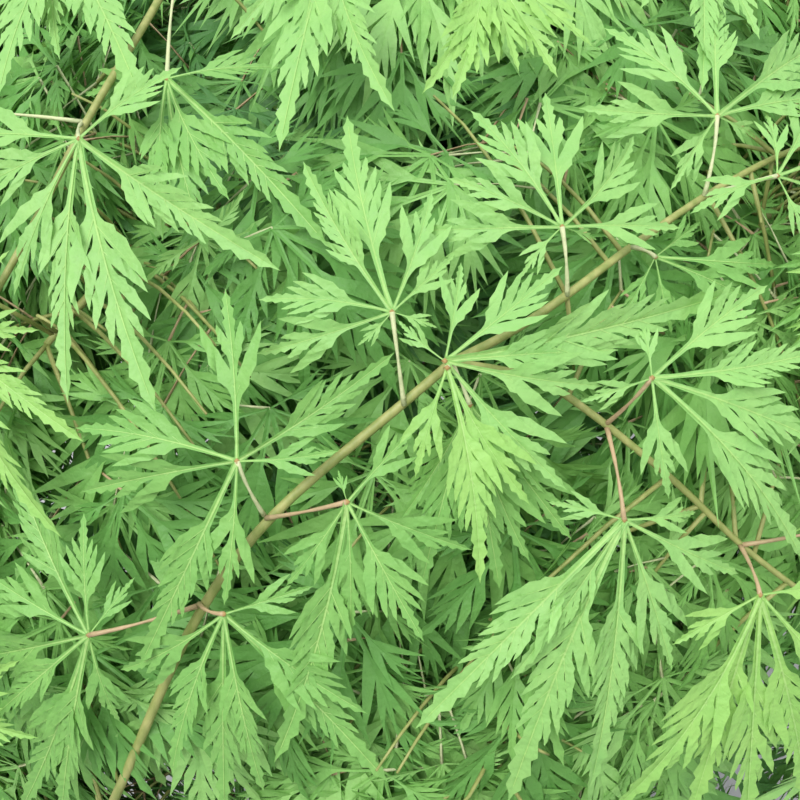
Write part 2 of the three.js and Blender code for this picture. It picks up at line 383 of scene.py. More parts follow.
@dataclass(frozen=True)
class View:
    """The camera's place: close in front of the crown's shoulder, looking down on it.

    The target is a point of the dome, in degrees from straight up and round it. What lies less deep than the
    near depth, within the picture and a margin round it, is grown finer.
    """

    elevation: float = 40
    distance: float = 0.392
    lens: float = 52
    sensor: float = 36
    target: Span = (50, 270)
    frame_pixels: int = 800
    margin: float = 1.1
    near_depth: float = 0.56

    def axes(self) -> tuple[Place, Place, Place]:
        """Returns the directions to the right, up and forward of the picture."""
        down = math.radians(self.elevation)
        right = np.array([1.0, 0.0, 0.0])
        up = np.array([0.0, math.sin(down), math.cos(down)])
        forward = np.array([0.0, math.cos(down), -math.sin(down)])
        return right, up, forward

    def eye(self, crown: Crown) -> Place:
        """Returns the camera's place, back from the point of the dome that it looks at."""
        return crown.place(*self.target, 1) - self.axes()[2] * self.distance

    def on_dome(self, crown: Crown, pixel: Pixel, share: float) -> Place:
        """Finds where the line of sight through a pixel meets the dome.

        Args:
            crown: The dome.
            pixel: Pixel of the picture, from its top left corner.
            share: Share of the dome's radius at which it is met.

        Returns:
            The point. A line that passes the dome gives its point nearest to the dome's middle.
        """
        right, up, forward = self.axes()
        half = self.frame_pixels / 2
        slope = self.sensor / 2 / self.lens
        across = (pixel[0] - half) / half * slope
        above = (half - pixel[1]) / half * slope
        ray = unit(forward + right * across + up * above)
        radii = np.array([crown.radius, crown.radius, crown.height]) * share
        start = (self.eye(crown) - crown.heart) / radii
        step = ray / radii
        a, b, c = step @ step, start @ step, start @ start - 1
        root = math.sqrt(max(b * b - a * c, 0))
        return self.eye(crown) + ray * (-b - root) / a

    def is_near(self, crown: Crown, point: Place) -> bool:
        """Says whether a point shows in the picture or just outside it, close to the camera.

        Args:
            crown: The dome.
            point: The point.

        Returns:
            Whether it does.
        """
        right, up, forward = self.axes()
        offset = point - self.eye(crown)
        depth = offset @ forward
        reach = depth * self.sensor / 2 / self.lens * self.margin
        return 0 < depth < self.near_depth and abs(offset @ right) < reach and abs(offset @ up) < reach


class Wire:
    """A shader socket on which arithmetic adds Math nodes."""

    def __init__(self, sheet: "NodeSheet", socket: bpy.types.NodeSocket) -> None:
        """Wraps a socket of a sheet's node."""
        self.sheet = sheet
        self.socket = socket

    def _maths(self, operation: str, first: "Wire | float", second: "Wire | float") -> "Wire":
        """Adds one Math node and returns its result."""
        return self.sheet.node("ShaderNodeMath", {"operation": operation}, {0: first, 1: second})

    def __add__(self, other: "Wire | float") -> "Wire":
        """Returns the sum."""
        return self._maths("ADD", self, other)

    def __sub__(self, other: "Wire | float") -> "Wire":
        """Returns the difference."""
        return self._maths("SUBTRACT", self, other)

    def __rsub__(self, other: float) -> "Wire":
        """Returns the difference from a number."""
        return self._maths("SUBTRACT", other, self)

    def __mul__(self, other: "Wire | float") -> "Wire":
        """Returns the product."""
        return self._maths("MULTIPLY", self, other)

    __radd__ = __add__
    __rmul__ = __mul__


class NodeSheet:
    """The shader nodes of one material."""

    MIX_SOCKETS = (0, 6, 7)
    MIX_RESULT = 2

    def __init__(self, name: str) -> None:
        """Makes an empty material with its output and its surface shader.

        Args:
            name: The material's name.
        """
        self.material = bpy.data.materials.new(name)
        self.material.use_nodes = True
        self._nodes = self.material.node_tree.nodes
        self._links = self.material.node_tree.links
        self.surface = self._nodes["Principled BSDF"]

    def node(self, kind: str, settings: dict, inputs: dict, output: int | str = 0) -> Wire:
        """Adds a node.

        Args:
            kind: The node's type.
            settings: Its properties, with a ramp's stops under the name stops.
            inputs: Values or wires by the name or number of the socket.
            output: The socket to return.

        Returns:
            The output as a wire.
        """
        made = self._nodes.new(kind)
        for key, value in settings.items():
            if key != "stops":
                setattr(made, key, value)
        for index, (position, colour) in enumerate(settings.get("stops", ())):
            ramp = made.color_ramp.elements
            stop = ramp[index] if index < 2 else ramp.new(position)
            stop.position = position
            stop.color = (*colour, 1)
        for key, value in inputs.items():
            self.feed(made.inputs[key], value)
        return Wire(self, made.outputs[output])

    def feed(self, socket: bpy.types.NodeSocket, value: "Wire | float | Colour") -> None:
        """Links a wire to a socket, or sets the socket's own value.

        Args:
            socket: The socket.
            value: The wire or the value.
        """
        if isinstance(value, Wire):
            self._links.new(value.socket, socket)
        elif isinstance(value, tuple) and socket.type == "RGBA":
            socket.default_value = (*value, 1)
        else:
            socket.default_value = value

    def noise(self, scale: float, detail: float, stretch: Colour = (1, 1, 1)) -> Wire:
        """Adds a soft noise over the object.

        Args:
            scale: Spots to the metre.
            detail: How many times finer spots are laid over it.
            stretch: Its scale along each axis.

        Returns:
            The noise's value.
        """
        place = self.node("ShaderNodeTexCoord", {}, {}, "Object")
        mapped = self.node("ShaderNodeMapping", {}, {"Vector": place, "Scale": stretch})
        return self.node("ShaderNodeTexNoise", {}, {"Vector": mapped, "Scale": scale, "Detail": detail})

    def mix(self, share: "Wire | float", first: "Wire | Colour", second: "Wire | Colour") -> Wire:
        """Returns a colour between two, by a share."""
        inputs = dict(zip(self.MIX_SOCKETS, (share, first, second)))
        return self.node("ShaderNodeMix", {"data_type": "RGBA"}, inputs, self.MIX_RESULT)

    def contrast(self, value: Wire, low: float, high: float) -> Wire:
        """Returns a value stretched so that low turns to 0 and high to 1."""
        settings = {"stops": [(low, (0, 0, 0)), (high, (1, 1, 1))]}
        return self.node("ShaderNodeValToRGB", settings, {"Fac": value})

    def bump(self, height: Wire, depth: float) -> Wire:
        """Returns a normal roughened by a height, depth metres deep."""
        return self.node("ShaderNodeBump", {}, {"Strength": 1.0, "Distance": depth, "Height": height})

    def dress(self, **sockets: "Wire | float | Colour") -> bpy.types.Material:
        """Feeds the surface shader.

        Args:
            sockets: Values or wires by the socket's name, with underscores for its spaces.

        Returns:
            The finished material.
        """
        for name, value in sockets.items():
            self.feed(self.surface.inputs[name.replace("_", " ")], value)
        return self.material

    def let_through(self, through: Wire, share: float) -> bpy.types.Material:
        """Mixes the surface shader with a second one.

        Args:
            through: The second shader.
            share: Its constant share.

        Returns:
            The finished material.
        """
        surface = Wire(self, self.surface.outputs[0])
        mixed = self.node("ShaderNodeMixShader", {}, {0: share, 1: surface, 2: through})
        self._links.new(mixed.socket, self._nodes["Material Output"].inputs["Surface"])
        return self.material


@dataclass(frozen=True)
class LeafFinish:
    """A thin green leaf: satin, with a fine grain and a little mottling, and glowing a little from behind.

    The noises are spots to the metre and fineness. The deep and shining greens are shares of the colour.
    """

    name: str
    colour: Colour
    roughness: float = 0.5
    glow: float = 0.25
    mottling: Span = (90, 3)
    waves: Span = (230, 2)
    grain: Span = (1400, 2)
    deep: Colour = (0.62, 0.78, 0.72)
    shine: Colour = (1.08, 1, 0.75)
    patchiness: float = 0.12
    gloss: float = 0.35
    grain_share: float = 0.12
    relief: float = 0.0011

    def _tinted(self, shares: Colour) -> Colour:
        """Returns the leaf's colour, with each channel taken by its share."""
        return tuple(channel * share for channel, share in zip(self.colour, shares))

    def material(self) -> bpy.types.Material:
        """Returns the leaf's material."""
        sheet = NodeSheet(self.name)
        mottling = sheet.noise(*self.mottling)
        waves = sheet.noise(*self.waves)
        grain = sheet.noise(*self.grain)
        through = sheet.node("ShaderNodeBsdfTranslucent", {}, {"Color": self._tinted(self.shine)})
        sheet.dress(
            Base_Color=sheet.mix(mottling, self._tinted(self.deep), self.colour),
            Roughness=self.roughness + self.patchiness * (mottling - 0.5),
            Specular_IOR_Level=self.gloss,
            Normal=sheet.bump(waves + self.grain_share * grain, self.relief),
        )
        return sheet.let_through(through, self.glow)


@dataclass(frozen=True)
class BarkFinish:
    """Bark: streaked along the limb between two colours, with fine fissures."""

    name: str
    colour: Colour
    streak: Colour
    spots: float
    depth: float
    roughness: float = 0.75
    along: Colour = (1, 1, 0.22)
    across: Colour = (1, 1, 2.4)
    details: Span = (4, 3)
    contrast: Span = (0.35, 0.68)
    patchiness: float = 0.2
    lenticel_share: float = 0.4

    def material(self) -> bpy.types.Material:
        """Returns the bark's material."""
        sheet = NodeSheet(self.name)
        streaks = sheet.noise(self.spots, self.details[0], self.along)
        lenticels = sheet.noise(self.spots * 3, self.details[1], self.across)
        return sheet.dress(
            Base_Color=sheet.mix(sheet.contrast(streaks, *self.contrast), self.colour, self.streak),
            Roughness=self.roughness + self.patchiness * (lenticels - 0.5),
            Normal=sheet.bump(streaks + self.lenticel_share * lenticels, self.depth),
        )


@dataclass(frozen=True)
class ClayFinish:
    """Matte dark stoneware with a fine grit and faint turning lines."""

    name: str = "pot_stoneware"
    colour: Colour = (0.062, 0.068, 0.073)
    worn: Colour = (0.105, 0.11, 0.112)
    clouds: Span = (9, 4)
    grit: Span = (900, 2)
    lines: Span = (150, 2)
    round_the_pot: Colour = (0.02, 0.02, 1)
    contrast: Span = (0.38, 0.72)
    roughness: float = 0.66
    patchiness: float = 0.2
    grit_share: float = 0.35
    relief: float = 0.0006

    def material(self) -> bpy.types.Material:
        """Returns the clay's material."""
        sheet = NodeSheet(self.name)
        clouds = sheet.noise(*self.clouds)
        grit = sheet.noise(*self.grit)
        lines = sheet.noise(*self.lines, self.round_the_pot)
        return sheet.dress(
            Base_Color=sheet.mix(sheet.contrast(clouds, *self.contrast), self.colour, self.worn),
            Roughness=self.roughness + self.patchiness * (grit - 0.5),
            Normal=sheet.bump(self.grit_share * grit + lines, self.relief),
        )


@dataclass(frozen=True)
class SoilFinish:
    """Crumbly potting mix or a flake of bark in it."""

    name: str
    colour: Colour
    light: Colour
    spots: float
    detail: float = 5
    contrast: Span = (0.42, 0.66)
    roughness: float = 0.95
    relief: float = 0.003

    def material(self) -> bpy.types.Material:
        """Returns the soil's material."""
        sheet = NodeSheet(self.name)
        crumbs = sheet.noise(self.spots, self.detail)
        return sheet.dress(
            Base_Color=sheet.mix(sheet.contrast(crumbs, *self.contrast), self.colour, self.light),
            Roughness=self.roughness,
            Normal=sheet.bump(crumbs, self.relief),
        )


class Shade(Enum):
    """The greens of leaves, from young tips in painted light to painted shade inside, and of stalks and
    veins.
    """

    # Leaf greens, lightest first, paint light and shade by depth: the young outer tips are also lit lightest.
    YOUNG_AND_LIT = LeafFinish("leaf_young_and_lit", (0.38, 0.63, 0.165))
    SUNLIT = LeafFinish("leaf_sunlit", (0.36, 0.62, 0.19))
    # Painted shade: a leaf a little deeper in the crown.
    FRESH = LeafFinish("leaf_less_lit", (0.28, 0.53, 0.14))
    # Painted shade: a leaf deeper in the crown.
    HALF_SHADED = LeafFinish("leaf_half_shaded", (0.18, 0.40, 0.095))
    SHADED = LeafFinish("leaf_shaded", (0.11, 0.275, 0.075))
    VEIN = LeafFinish("leaf_vein", (0.47, 0.68, 0.23))
    STALK_CREAM = LeafFinish("stalk_cream", (0.68, 0.66, 0.38), 0.45, 0.1)
    STALK_TAN = LeafFinish("stalk_tan", (0.57, 0.38, 0.22), 0.45, 0.1)
    KNOT = LeafFinish("leaf_knot", (0.55, 0.33, 0.13), 0.5)


class Wood(Enum):
    """The barks of the plant."""

    TRUNK = BarkFinish("bark_trunk", (0.20, 0.165, 0.105), (0.33, 0.29, 0.20), 120, 0.0016, 0.82)
    BOUGH = BarkFinish("bark_bough", (0.23, 0.20, 0.09), (0.34, 0.30, 0.15), 170, 0.0006)
    TWIG = BarkFinish("bark_twig", (0.215, 0.26, 0.065), (0.35, 0.35, 0.12), 260, 0.0002, 0.55)


class Ground(Enum):
    """What fills the pot."""

    SOIL = SoilFinish("soil_mix", (0.016, 0.010, 0.006), (0.055, 0.034, 0.020), 260)
    FLAKE = SoilFinish("soil_flake", (0.06, 0.034, 0.02), (0.13, 0.085, 0.05), 500)


def show(piece: bpy.types.Object, finish: bpy.types.Material, nodes: Iterable[str]) -> None:
    """Links a finished piece to the scene, gives it its body and material, and hides the solids that it
    stands for.

    Args:
        piece: The piece, at the origin.
        finish: Its material.
        nodes: The solids that it stands for.
    """
    bpy.context.scene.collection.objects.link(piece)
    piece.data.materials.append(finish)
    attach(piece, BODY)
    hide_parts(*nodes)
    LOG.info("%s: %d faces", piece.name, len(piece.data.polygons))


def turned(profile: Iterable[Span], steps: int) -> bmesh.types.BMesh:
    """Turns a profile round the upright axis.

    Args:
        profile: Radii and heights along the outline, from its first point on the axis.
        steps: Number of steps round.

    Returns:
        The form.
    """
    form = bmesh.new()
    corners = [form.verts.new((radius, 0, height)) for radius, height in profile]
    edges = [form.edges.new(pair) for pair in zip(corners, corners[1:])]
    bmesh.ops.spin(
        form, geom=[*corners, *edges], cent=(0, 0, 0), axis=UP, angle=2 * math.pi, steps=steps, use_merge=True
    )
    bmesh.ops.remove_doubles(form, verts=form.verts, dist=WELD)
    return form


def moulded(name: str, form: bmesh.types.BMesh) -> bpy.types.Object:
    """Turns a form into a piece with smooth faces that look outwards.

    Args:
        name: The piece's name.
        form: The form, which is used up.

    Returns:
        The piece, not yet in the scene.
    """
    bmesh.ops.recalc_face_normals(form, faces=form.faces)
    mesh = bpy.data.meshes.new(name)
    form.to_mesh(mesh)
    form.free()
    mesh.shade_smooth()
    return bpy.data.objects.new(name, mesh)


class Heap:
    """Many small things of one kind, gathered as arrays and joined into one mesh."""

    def __init__(self) -> None:
        """Starts an empty heap."""
        self._points: list[Place] = []
        self._triangles: list[Place] = []
        self._count = 0

    def add(self, points: Place, triangles: Place) -> None:
        """Adds one thing, or many alike.

        Args:
            points: The corners, n by 3, or copies by n by 3.
            triangles: The corners' numbers, m by 3, which all copies share.
        """
        copies = points.reshape(-1, points.shape[-2], 3)
        firsts = self._count + np.arange(len(copies)) * copies.shape[1]
        self._points.append(copies.reshape(-1, 3))
        self._triangles.append((triangles[None] + firsts[:, None, None]).reshape(-1, 3))
        self._count += copies.shape[0] * copies.shape[1]

    def piece(self, name: str) -> bpy.types.Object:
        """Joins the heap into one piece with smooth faces.

        Args:
            name: The piece's name.

        Returns:
            The piece, not yet in the scene.
        """
        points, triangles = np.concatenate(self._points), np.concatenate(self._triangles)
        mesh = bpy.data.meshes.new(name)
        mesh.vertices.add(len(points))
        mesh.vertices.foreach_set("co", points.ravel().astype(np.float32))
        mesh.loops.add(triangles.size)
        mesh.loops.foreach_set("vertex_index", triangles.ravel().astype(np.int32))
        mesh.polygons.add(len(triangles))
        mesh.polygons.foreach_set("loop_start", np.arange(0, triangles.size, 3, dtype=np.int32))
        mesh.update(calc_edges=True)
        mesh.shade_smooth()
        return bpy.data.objects.new(name, mesh)


def frames_along(track: Place) -> tuple[Place, Place]:
    """Finds two directions across a track at each of its points, turning with it and never twisting.

    Args:
        track: The points, n by 3.

    Returns:
        The two directions, each n by 3.
    """
    headings = np.gradient(track, axis=0)
    headings /= np.linalg.norm(headings, axis=1)[:, None]
    least = np.eye(3)[np.argmin(np.abs(headings[0]))]
    first = [unit(np.cross(headings[0], least))]
    for heading in headings[1:]:
        first.append(unit(first[-1] - heading * (first[-1] @ heading)))
    first = np.array(first)
    return first, np.cross(headings, first)


def tube(track: Place, radii: Place, sides: int) -> tuple[Place, Place]:
    """Works out a closed tube along a track.

    Args:
        track: The points of its middle line, n by 3.
        radii: Its radius at each point.
        sides: Number of sides.

    Returns:
        Its corners and its triangles.
    """
    first, second = frames_along(track)
    turns = np.arange(sides) * 2 * np.pi / sides
    rings = np.cos(turns)[:, None] * first[:, None] + np.sin(turns)[:, None] * second[:, None]
    points = (track[:, None] + rings * radii[:, None, None]).reshape(-1, 3)
    triangles = []
    for ring in range(len(track) - 1):
        for side in range(sides):
            a, b = ring * sides + side, ring * sides + (side + 1) % sides
            triangles += [(a, b, b + sides), (a, b + sides, a + sides)]
    last = (len(track) - 1) * sides
    for side in range(1, sides - 1):
        triangles += [(0, side + 1, side), (last, last + side, last + side + 1)]
    return points, np.array(triangles)


@dataclass(frozen=True)
class LobeCut:
    """How finely a lobe of a leaf is cut: its pairs of side lobes and the steps along their edges.

    Each form is a variant, from broad lobes to narrow ones: its breadth and how many more pairs it has.
    """

    pairs: int
    rungs: int
    tip_rungs: int
    has_veins: bool
    forms: tuple[tuple[float, int], ...] = ((1, 0), (0.88, 0), (0.76, 0), (0.64, 0))


class Detail(Enum):
    """The finenesses of leaf: the nearest, those behind them, and the crown's outer and inner ones."""

    FINE = LobeCut(3, 8, 9, True, ((0.85, -1), (0.82, 0), (0.6, 1), (0.46, 3)))
    CLEAR = LobeCut(3, 5, 5, False)
    PLAIN = LobeCut(3, 2, 3, False)
    SMALL = LobeCut(2, 2, 1, False, ((1.1, 0), (1, 0), (0.95, 0), (0.9, 0)))


class LobePattern:
    """One lobe of a leaf, cut nearly to its midrib. Y runs from the leaf's middle to the lobe's tip, 1 long.

    Above a narrow stalk it forks again and again. Each fork has two toothed side lobes that point forward,
    and the cuts between them reach almost to the midrib. The two halves don't share their midrib's corners,
    so the fold between them stays crisp. Sizes are shares of the lobe's length, or of the side lobe's.
    """

    # Along the midrib: where the stalk and the forks end, and the width of the web beside it.
    STALK = 0.26
    BLADE_TOP = 0.66
    WEB = 0.019
    WAIST = 0.1
    WEB_SHARES = (0.7, 0.55, 0.85, 1, 0.8)
    STAGGER = (0.3, 0.4)
    # The side lobes: length, turn, curl, and the pull of their edges' control points.
    SIDE_REACH = 0.36
    LAST_REACH = 0.44
    UNEVEN_REACH = 0.3
    SIDE_ANGLES = (33, 25)
    UNEVEN_ANGLE = 12
    CURLS = (-0.05, 0.28)
    SIDE_BULGE = 0.105
    RISE_BULGE = 0.11
    SHOULDER = (0.6, 0.2)
    CREST = (1.6, 0.4)
    HOLLOW = (0.5, 0.02)
    # The teeth on them.
    TOOTH_FROM = 0.3
    TOOTH = 0.42
    TOOTH_FADE = 0.6
    TOOTH_LEAN = 0.9
    INNER_TOOTH = 0.3
    FEWEST_TOOTHED = 4
    # The toothed tip, wide and narrow by turns.
    TIP_SWELL = 0.09
    TIP_WIDTHS = (1.35, 0.62)
    TIP_TOOTH = 0.07
    # The veins of the leaf's upper face.
    VEIN = 0.0042
    VEIN_WIDTHS = ((0, 0.2, 1), (1.5, 1, 0.25))
    VEIN_LIFT = 0.003
    VEIN_END = 0.93
    VEIN_STATIONS = 9
    VEIN_FOOT = 0.4
    VEIN_REACH = 0.8
    VEIN_SINK = 0.6
    VEIN_FLARE = 1.6

    def __init__(self, cut: LobeCut, form: tuple[float, int], seed: int) -> None:
        """Cuts the lobe.

        Args:
            cut: How finely.
            form: Its breadth, from a broad lobe's 1 down, and how many more pairs it has.
            seed: Seed of its small irregularities.
        """
        self._cut = cut
        self._breadth = form[0]
        self._pairs = cut.pairs + form[1]
        self._numbers = Numbers(seed)
        self._points: list[tuple[float, float, float]] = []
        self._triangles: list[tuple[int, int, int]] = []
        self._side_tips: list[tuple[float, float, float, float]] = []
        for side in (1, -1):
            self._cut_half(side)
        self.points, self.triangles = np.array(self._points), np.array(self._triangles)
        self._points, self._triangles = [], []
        if cut.has_veins:
            self._draw_veins()
        self.vein_points, self.vein_triangles = np.array(self._points), np.array(self._triangles)

    def _web(self, along: float) -> float:
        """Returns how far the blade reaches beside its midrib at the foot of a cut."""
        stations = (0, self.WAIST, self.STALK, self.BLADE_TOP, 1)
        return float(np.interp(along, stations, self.WEB_SHARES)) * self.WEB

    def _corner(self, across: float, along: float, lift: float = 0) -> int:
        """Adds a corner and returns its number."""
        self._points.append((across, along, lift))
        return len(self._points) - 1

    def _face(self, side: int, *corners: int) -> None:
        """Adds a face of three or four corners.

        Args:
            side: 1 for the right half, -1 for the left.
            corners: The corners' numbers, counter-clockwise if it is in the right half.
        """
        for second, third in zip(corners[1:], corners[2:]):
            face = (corners[0], second, third)
            self._triangles.append(face if side > 0 else face[::-1])

    def _cut_half(self, side: int) -> None:
        """Cuts one half: the web along the midrib, the side lobes on it and the tip.

        Args:
            side: 1 for the right half, -1 for the left.
        """
        step = (self.BLADE_TOP - self.STALK) / self._pairs
        first, last = self.STAGGER
        shift = step * first if side < 0 else 0
        stalk = [0.0, self.WAIST] if self._cut.has_veins else [0.0]
        stations = [*stalk, *np.linspace(self.STALK + shift, self.BLADE_TOP + shift * last, self._pairs + 1)]
        rib = [self._corner(0, along) for along in stations]
        edge = [self._corner(side * self._web(along), along) for along in stations]
        for lower in range(len(stations) - 1):
            self._face(side, rib[lower], edge[lower], edge[lower + 1], rib[lower + 1])
        for index in range(self._pairs):
            self._cut_side_lobe(side, index, *edge[len(stalk) + index :][:2])
        self._cut_tip(side, rib[-1], edge[-1])

    def _cut_side_lobe(self, side: int, index: int, lower: int, upper: int) -> None:
        """Cuts one side lobe, with teeth on its outer edge.

        Args:
            side: 1 for the right half, -1 for the left.
            index: Which pair it belongs to, counted from the leaf's middle.
            lower: The web's corner at its lower end.
            upper: The web's corner at its upper end.
        """
        numbers = self._numbers
        share = index / max(self._pairs - 1, 1)
        reach = self.SIDE_REACH * self._breadth * blend(1, self.LAST_REACH, share)
        reach *= 1 + numbers.about(self.UNEVEN_REACH)
        angle = math.radians(blend(*self.SIDE_ANGLES, share) + numbers.about(self.UNEVEN_ANGLE))
        curl = numbers.between(*self.CURLS)
        low, high = np.array(self._points[lower][:2]), np.array(self._points[upper][:2])
        forward = np.array([side * math.sin(angle), math.cos(angle)])
        outward = np.array([side * math.cos(angle), -math.sin(angle)])
        rise = np.array([0, high[1] - low[1]])
        bulge = reach * self.SIDE_BULGE + rise[1] * self.RISE_BULGE
        tip = high + forward * reach
        shoulder = low + rise * self.SHOULDER[0] + outward * bulge * self.SHOULDER[1]
        crest = high + outward * bulge * self.CREST[0]
        outer_edge = Curve(low, shoulder, crest, crest + forward * reach * self.CREST[1], tip)
        hollow = high + forward * reach * self.HOLLOW[0] - outward * reach * self.HOLLOW[1]
        inner_edge = Curve(high, hollow, tip)
        outer, inner = [lower], [upper]
        for rung in range(1, self._cut.rungs):
            along = rung / self._cut.rungs
            is_tooth = self._cut.rungs >= self.FEWEST_TOOTHED and rung % 2 == 1 and along > self.TOOTH_FROM
            tooth = bulge * self.TOOTH * (1 - along) ** self.TOOTH_FADE if is_tooth else 0
            lift = -curl * reach * along**2
            out = outer_edge.at(along) + outward * tooth + forward * tooth * self.TOOTH_LEAN
            into = inner_edge.at(along) + (forward - outward) * tooth * self.INNER_TOOTH
            outer.append(self._corner(*out, lift))
            inner.append(self._corner(*into, lift))
        end = self._corner(*tip, -curl * reach)
        for step in range(self._cut.rungs - 1):
            self._face(side, outer[step], outer[step + 1], inner[step + 1], inner[step])
        self._face(side, outer[-1], end, inner[-1])
        self._side_tips.append((float(low[1] + rise[1] * self.VEIN_FOOT), *tip, -curl * reach))

    def _cut_tip(self, side: int, rib: int, edge: int) -> None:
        """Cuts one half of the lobe's long toothed tip.

        Args:
            side: 1 for the right half, -1 for the left.
            rib: The midrib's last corner.
            edge: The web's last corner.
        """
        for rung in range(1, self._cut.tip_rungs):
            share = rung / self._cut.tip_rungs
            along = blend(self.BLADE_TOP, 1, share)
            is_tooth = rung % 2 == 1
            swell = self.TIP_SWELL * share * (1 - share) * self.TIP_WIDTHS[0 if is_tooth else 1]
            width = self.WEB * (1 - share) + swell
            next_rib = self._corner(0, along)
            forward = (1 - along) * self.TIP_TOOTH if is_tooth else 0
            next_edge = self._corner(side * width, along + forward)
            self._face(side, rib, edge, next_edge, next_rib)
            rib, edge = next_rib, next_edge
        self._face(side, rib, edge, self._corner(0, 1))

    def _draw_veins(self) -> None:
        """Draws the pale midrib and the veins of the side lobes as narrow strips on the blade."""
        stations = np.linspace(0, self.VEIN_END, self.VEIN_STATIONS)
        widths = self.VEIN * np.interp(stations, *self.VEIN_WIDTHS)
        for side in (1, -1):
            rib = [self._corner(0, along, self.VEIN_LIFT) for along in stations]
            places = zip(side * widths, stations)
            edge = [self._corner(across, along, self.VEIN_LIFT) for across, along in places]
            for step in range(len(stations) - 1):
                self._face(side, rib[step], edge[step], edge[step + 1], rib[step + 1])
        for foot, across, along, lift in self._side_tips:
            start, end = np.array([0, foot]), np.array([across, along])
            beyond = start + (end - start) * self.VEIN_REACH
            side = 1 if across > 0 else -1
            low = self._corner(*start, self.VEIN_LIFT)
            high = self._corner(0, foot + self.VEIN * self.VEIN_FLARE, self.VEIN_LIFT)
            self._face(side, low, self._corner(*beyond, lift * self.VEIN_SINK + self.VEIN_LIFT), high)


@dataclass
class Lobe:
    """One lobe in its place: from the leaf's middle to its tip, with its upper face, arch and bend."""

    middle: Place
    tip: Place
    face: Place
    arch: float
    sweep: float
    fold: float
    variant: int


class Leaves:
    """The lobes of all leaves, gathered by region, shade and fineness, and joined into pieces."""

    MOST_TRIANGLES = 190_000
    PATTERN_SEED = 31

    def __init__(self) -> None:
        """Starts with no lobes, and cuts the patterns that they are made to."""
        self._lobes: dict[tuple[str, Shade, Detail], list[Lobe]] = defaultdict(list)
        self._patterns = {detail: self._cut_patterns(detail.value) for detail in Detail}

    def _cut_patterns(self, cut: LobeCut) -> list[LobePattern]:
        """Returns a pattern of every form that lobes of one fineness have."""
        return [LobePattern(cut, form, seed) for seed, form in enumerate(cut.forms, self.PATTERN_SEED)]

    def add(self, region: str, shade: Shade, detail: Detail, lobe: Lobe) -> None:
        """Adds one lobe to a region."""
        self._lobes[region, shade, detail].append(lobe)

    def _lay(self, lobes: list[Lobe], pattern: Place) -> Place:
        """Lays a pattern's corners along each lobe.

        Args:
            lobes: The lobes, all of one variant.
            pattern: The corners, n by 3.

        Returns:
            The corners in their places, lobes by n by 3.
        """
        middles = np.array([lobe.middle for lobe in lobes])
        spans = np.array([lobe.tip for lobe in lobes]) - middles
        lengths = np.linalg.norm(spans, axis=1)[:, None, None]
        along = spans / lengths[:, 0]
        faces = np.array([lobe.face for lobe in lobes])
        faces -= along * np.sum(faces * along, axis=1)[:, None]
        faces /= np.linalg.norm(faces, axis=1)[:, None]
        across = np.cross(along, faces)
        arch, sweep, fold = np.array([(lobe.arch, lobe.sweep, lobe.fold) for lobe in lobes]).T[..., None]
        x, y, z = pattern.T
        bow = 4 * y * (1 - y)
        x_all = x + sweep * bow
        z_all = z + arch * bow + fold * np.abs(x)
        parts = x_all[..., None] * across[:, None] + z_all[..., None] * faces[:, None]
        return middles[:, None] + lengths * (parts + y[:, None] * along[:, None])

    def show(self, nodes_of: Callable[[str], list[str]]) -> None:
        """Joins the lobes into pieces and shows them, with a warning for a piece of too many triangles.

        Args:
            nodes_of: Gives the solids that a region's leaves stand for.
        """
        shades = dict.fromkeys([*(shade for _, shade, _ in self._lobes), Shade.VEIN])
        finishes = {shade: shade.value.material() for shade in shades}
        blades: dict[tuple[str, Shade], Heap] = defaultdict(Heap)
        veins: dict[str, Heap] = defaultdict(Heap)
        for (region, shade, detail), lobes in self._lobes.items():
            LOG.info("%s, %s, %s: %d lobes", region, shade.name, detail.name, len(lobes))
            for variant, pattern in enumerate(self._patterns[detail]):
                chosen = [lobe for lobe in lobes if lobe.variant == variant]
                if not chosen:
                    continue
                blades[region, shade].add(self._lay(chosen, pattern.points), pattern.triangles)
                if detail.value.has_veins:
                    veins[region].add(self._lay(chosen, pattern.vein_points), pattern.vein_triangles)
        for (region, shade), heap in blades.items():
            piece = heap.piece(f"leaves_{region}_{shade.name.lower()}")
            if len(piece.data.polygons) > self.MOST_TRIANGLES:
                LOG.warning("%s has too many faces", piece.name)
            show(piece, finishes[shade], nodes_of(region))
        for region, heap in veins.items():
            show(heap.piece(f"leaf_veins_{region}"), finishes[Shade.VEIN], nodes_of(region))


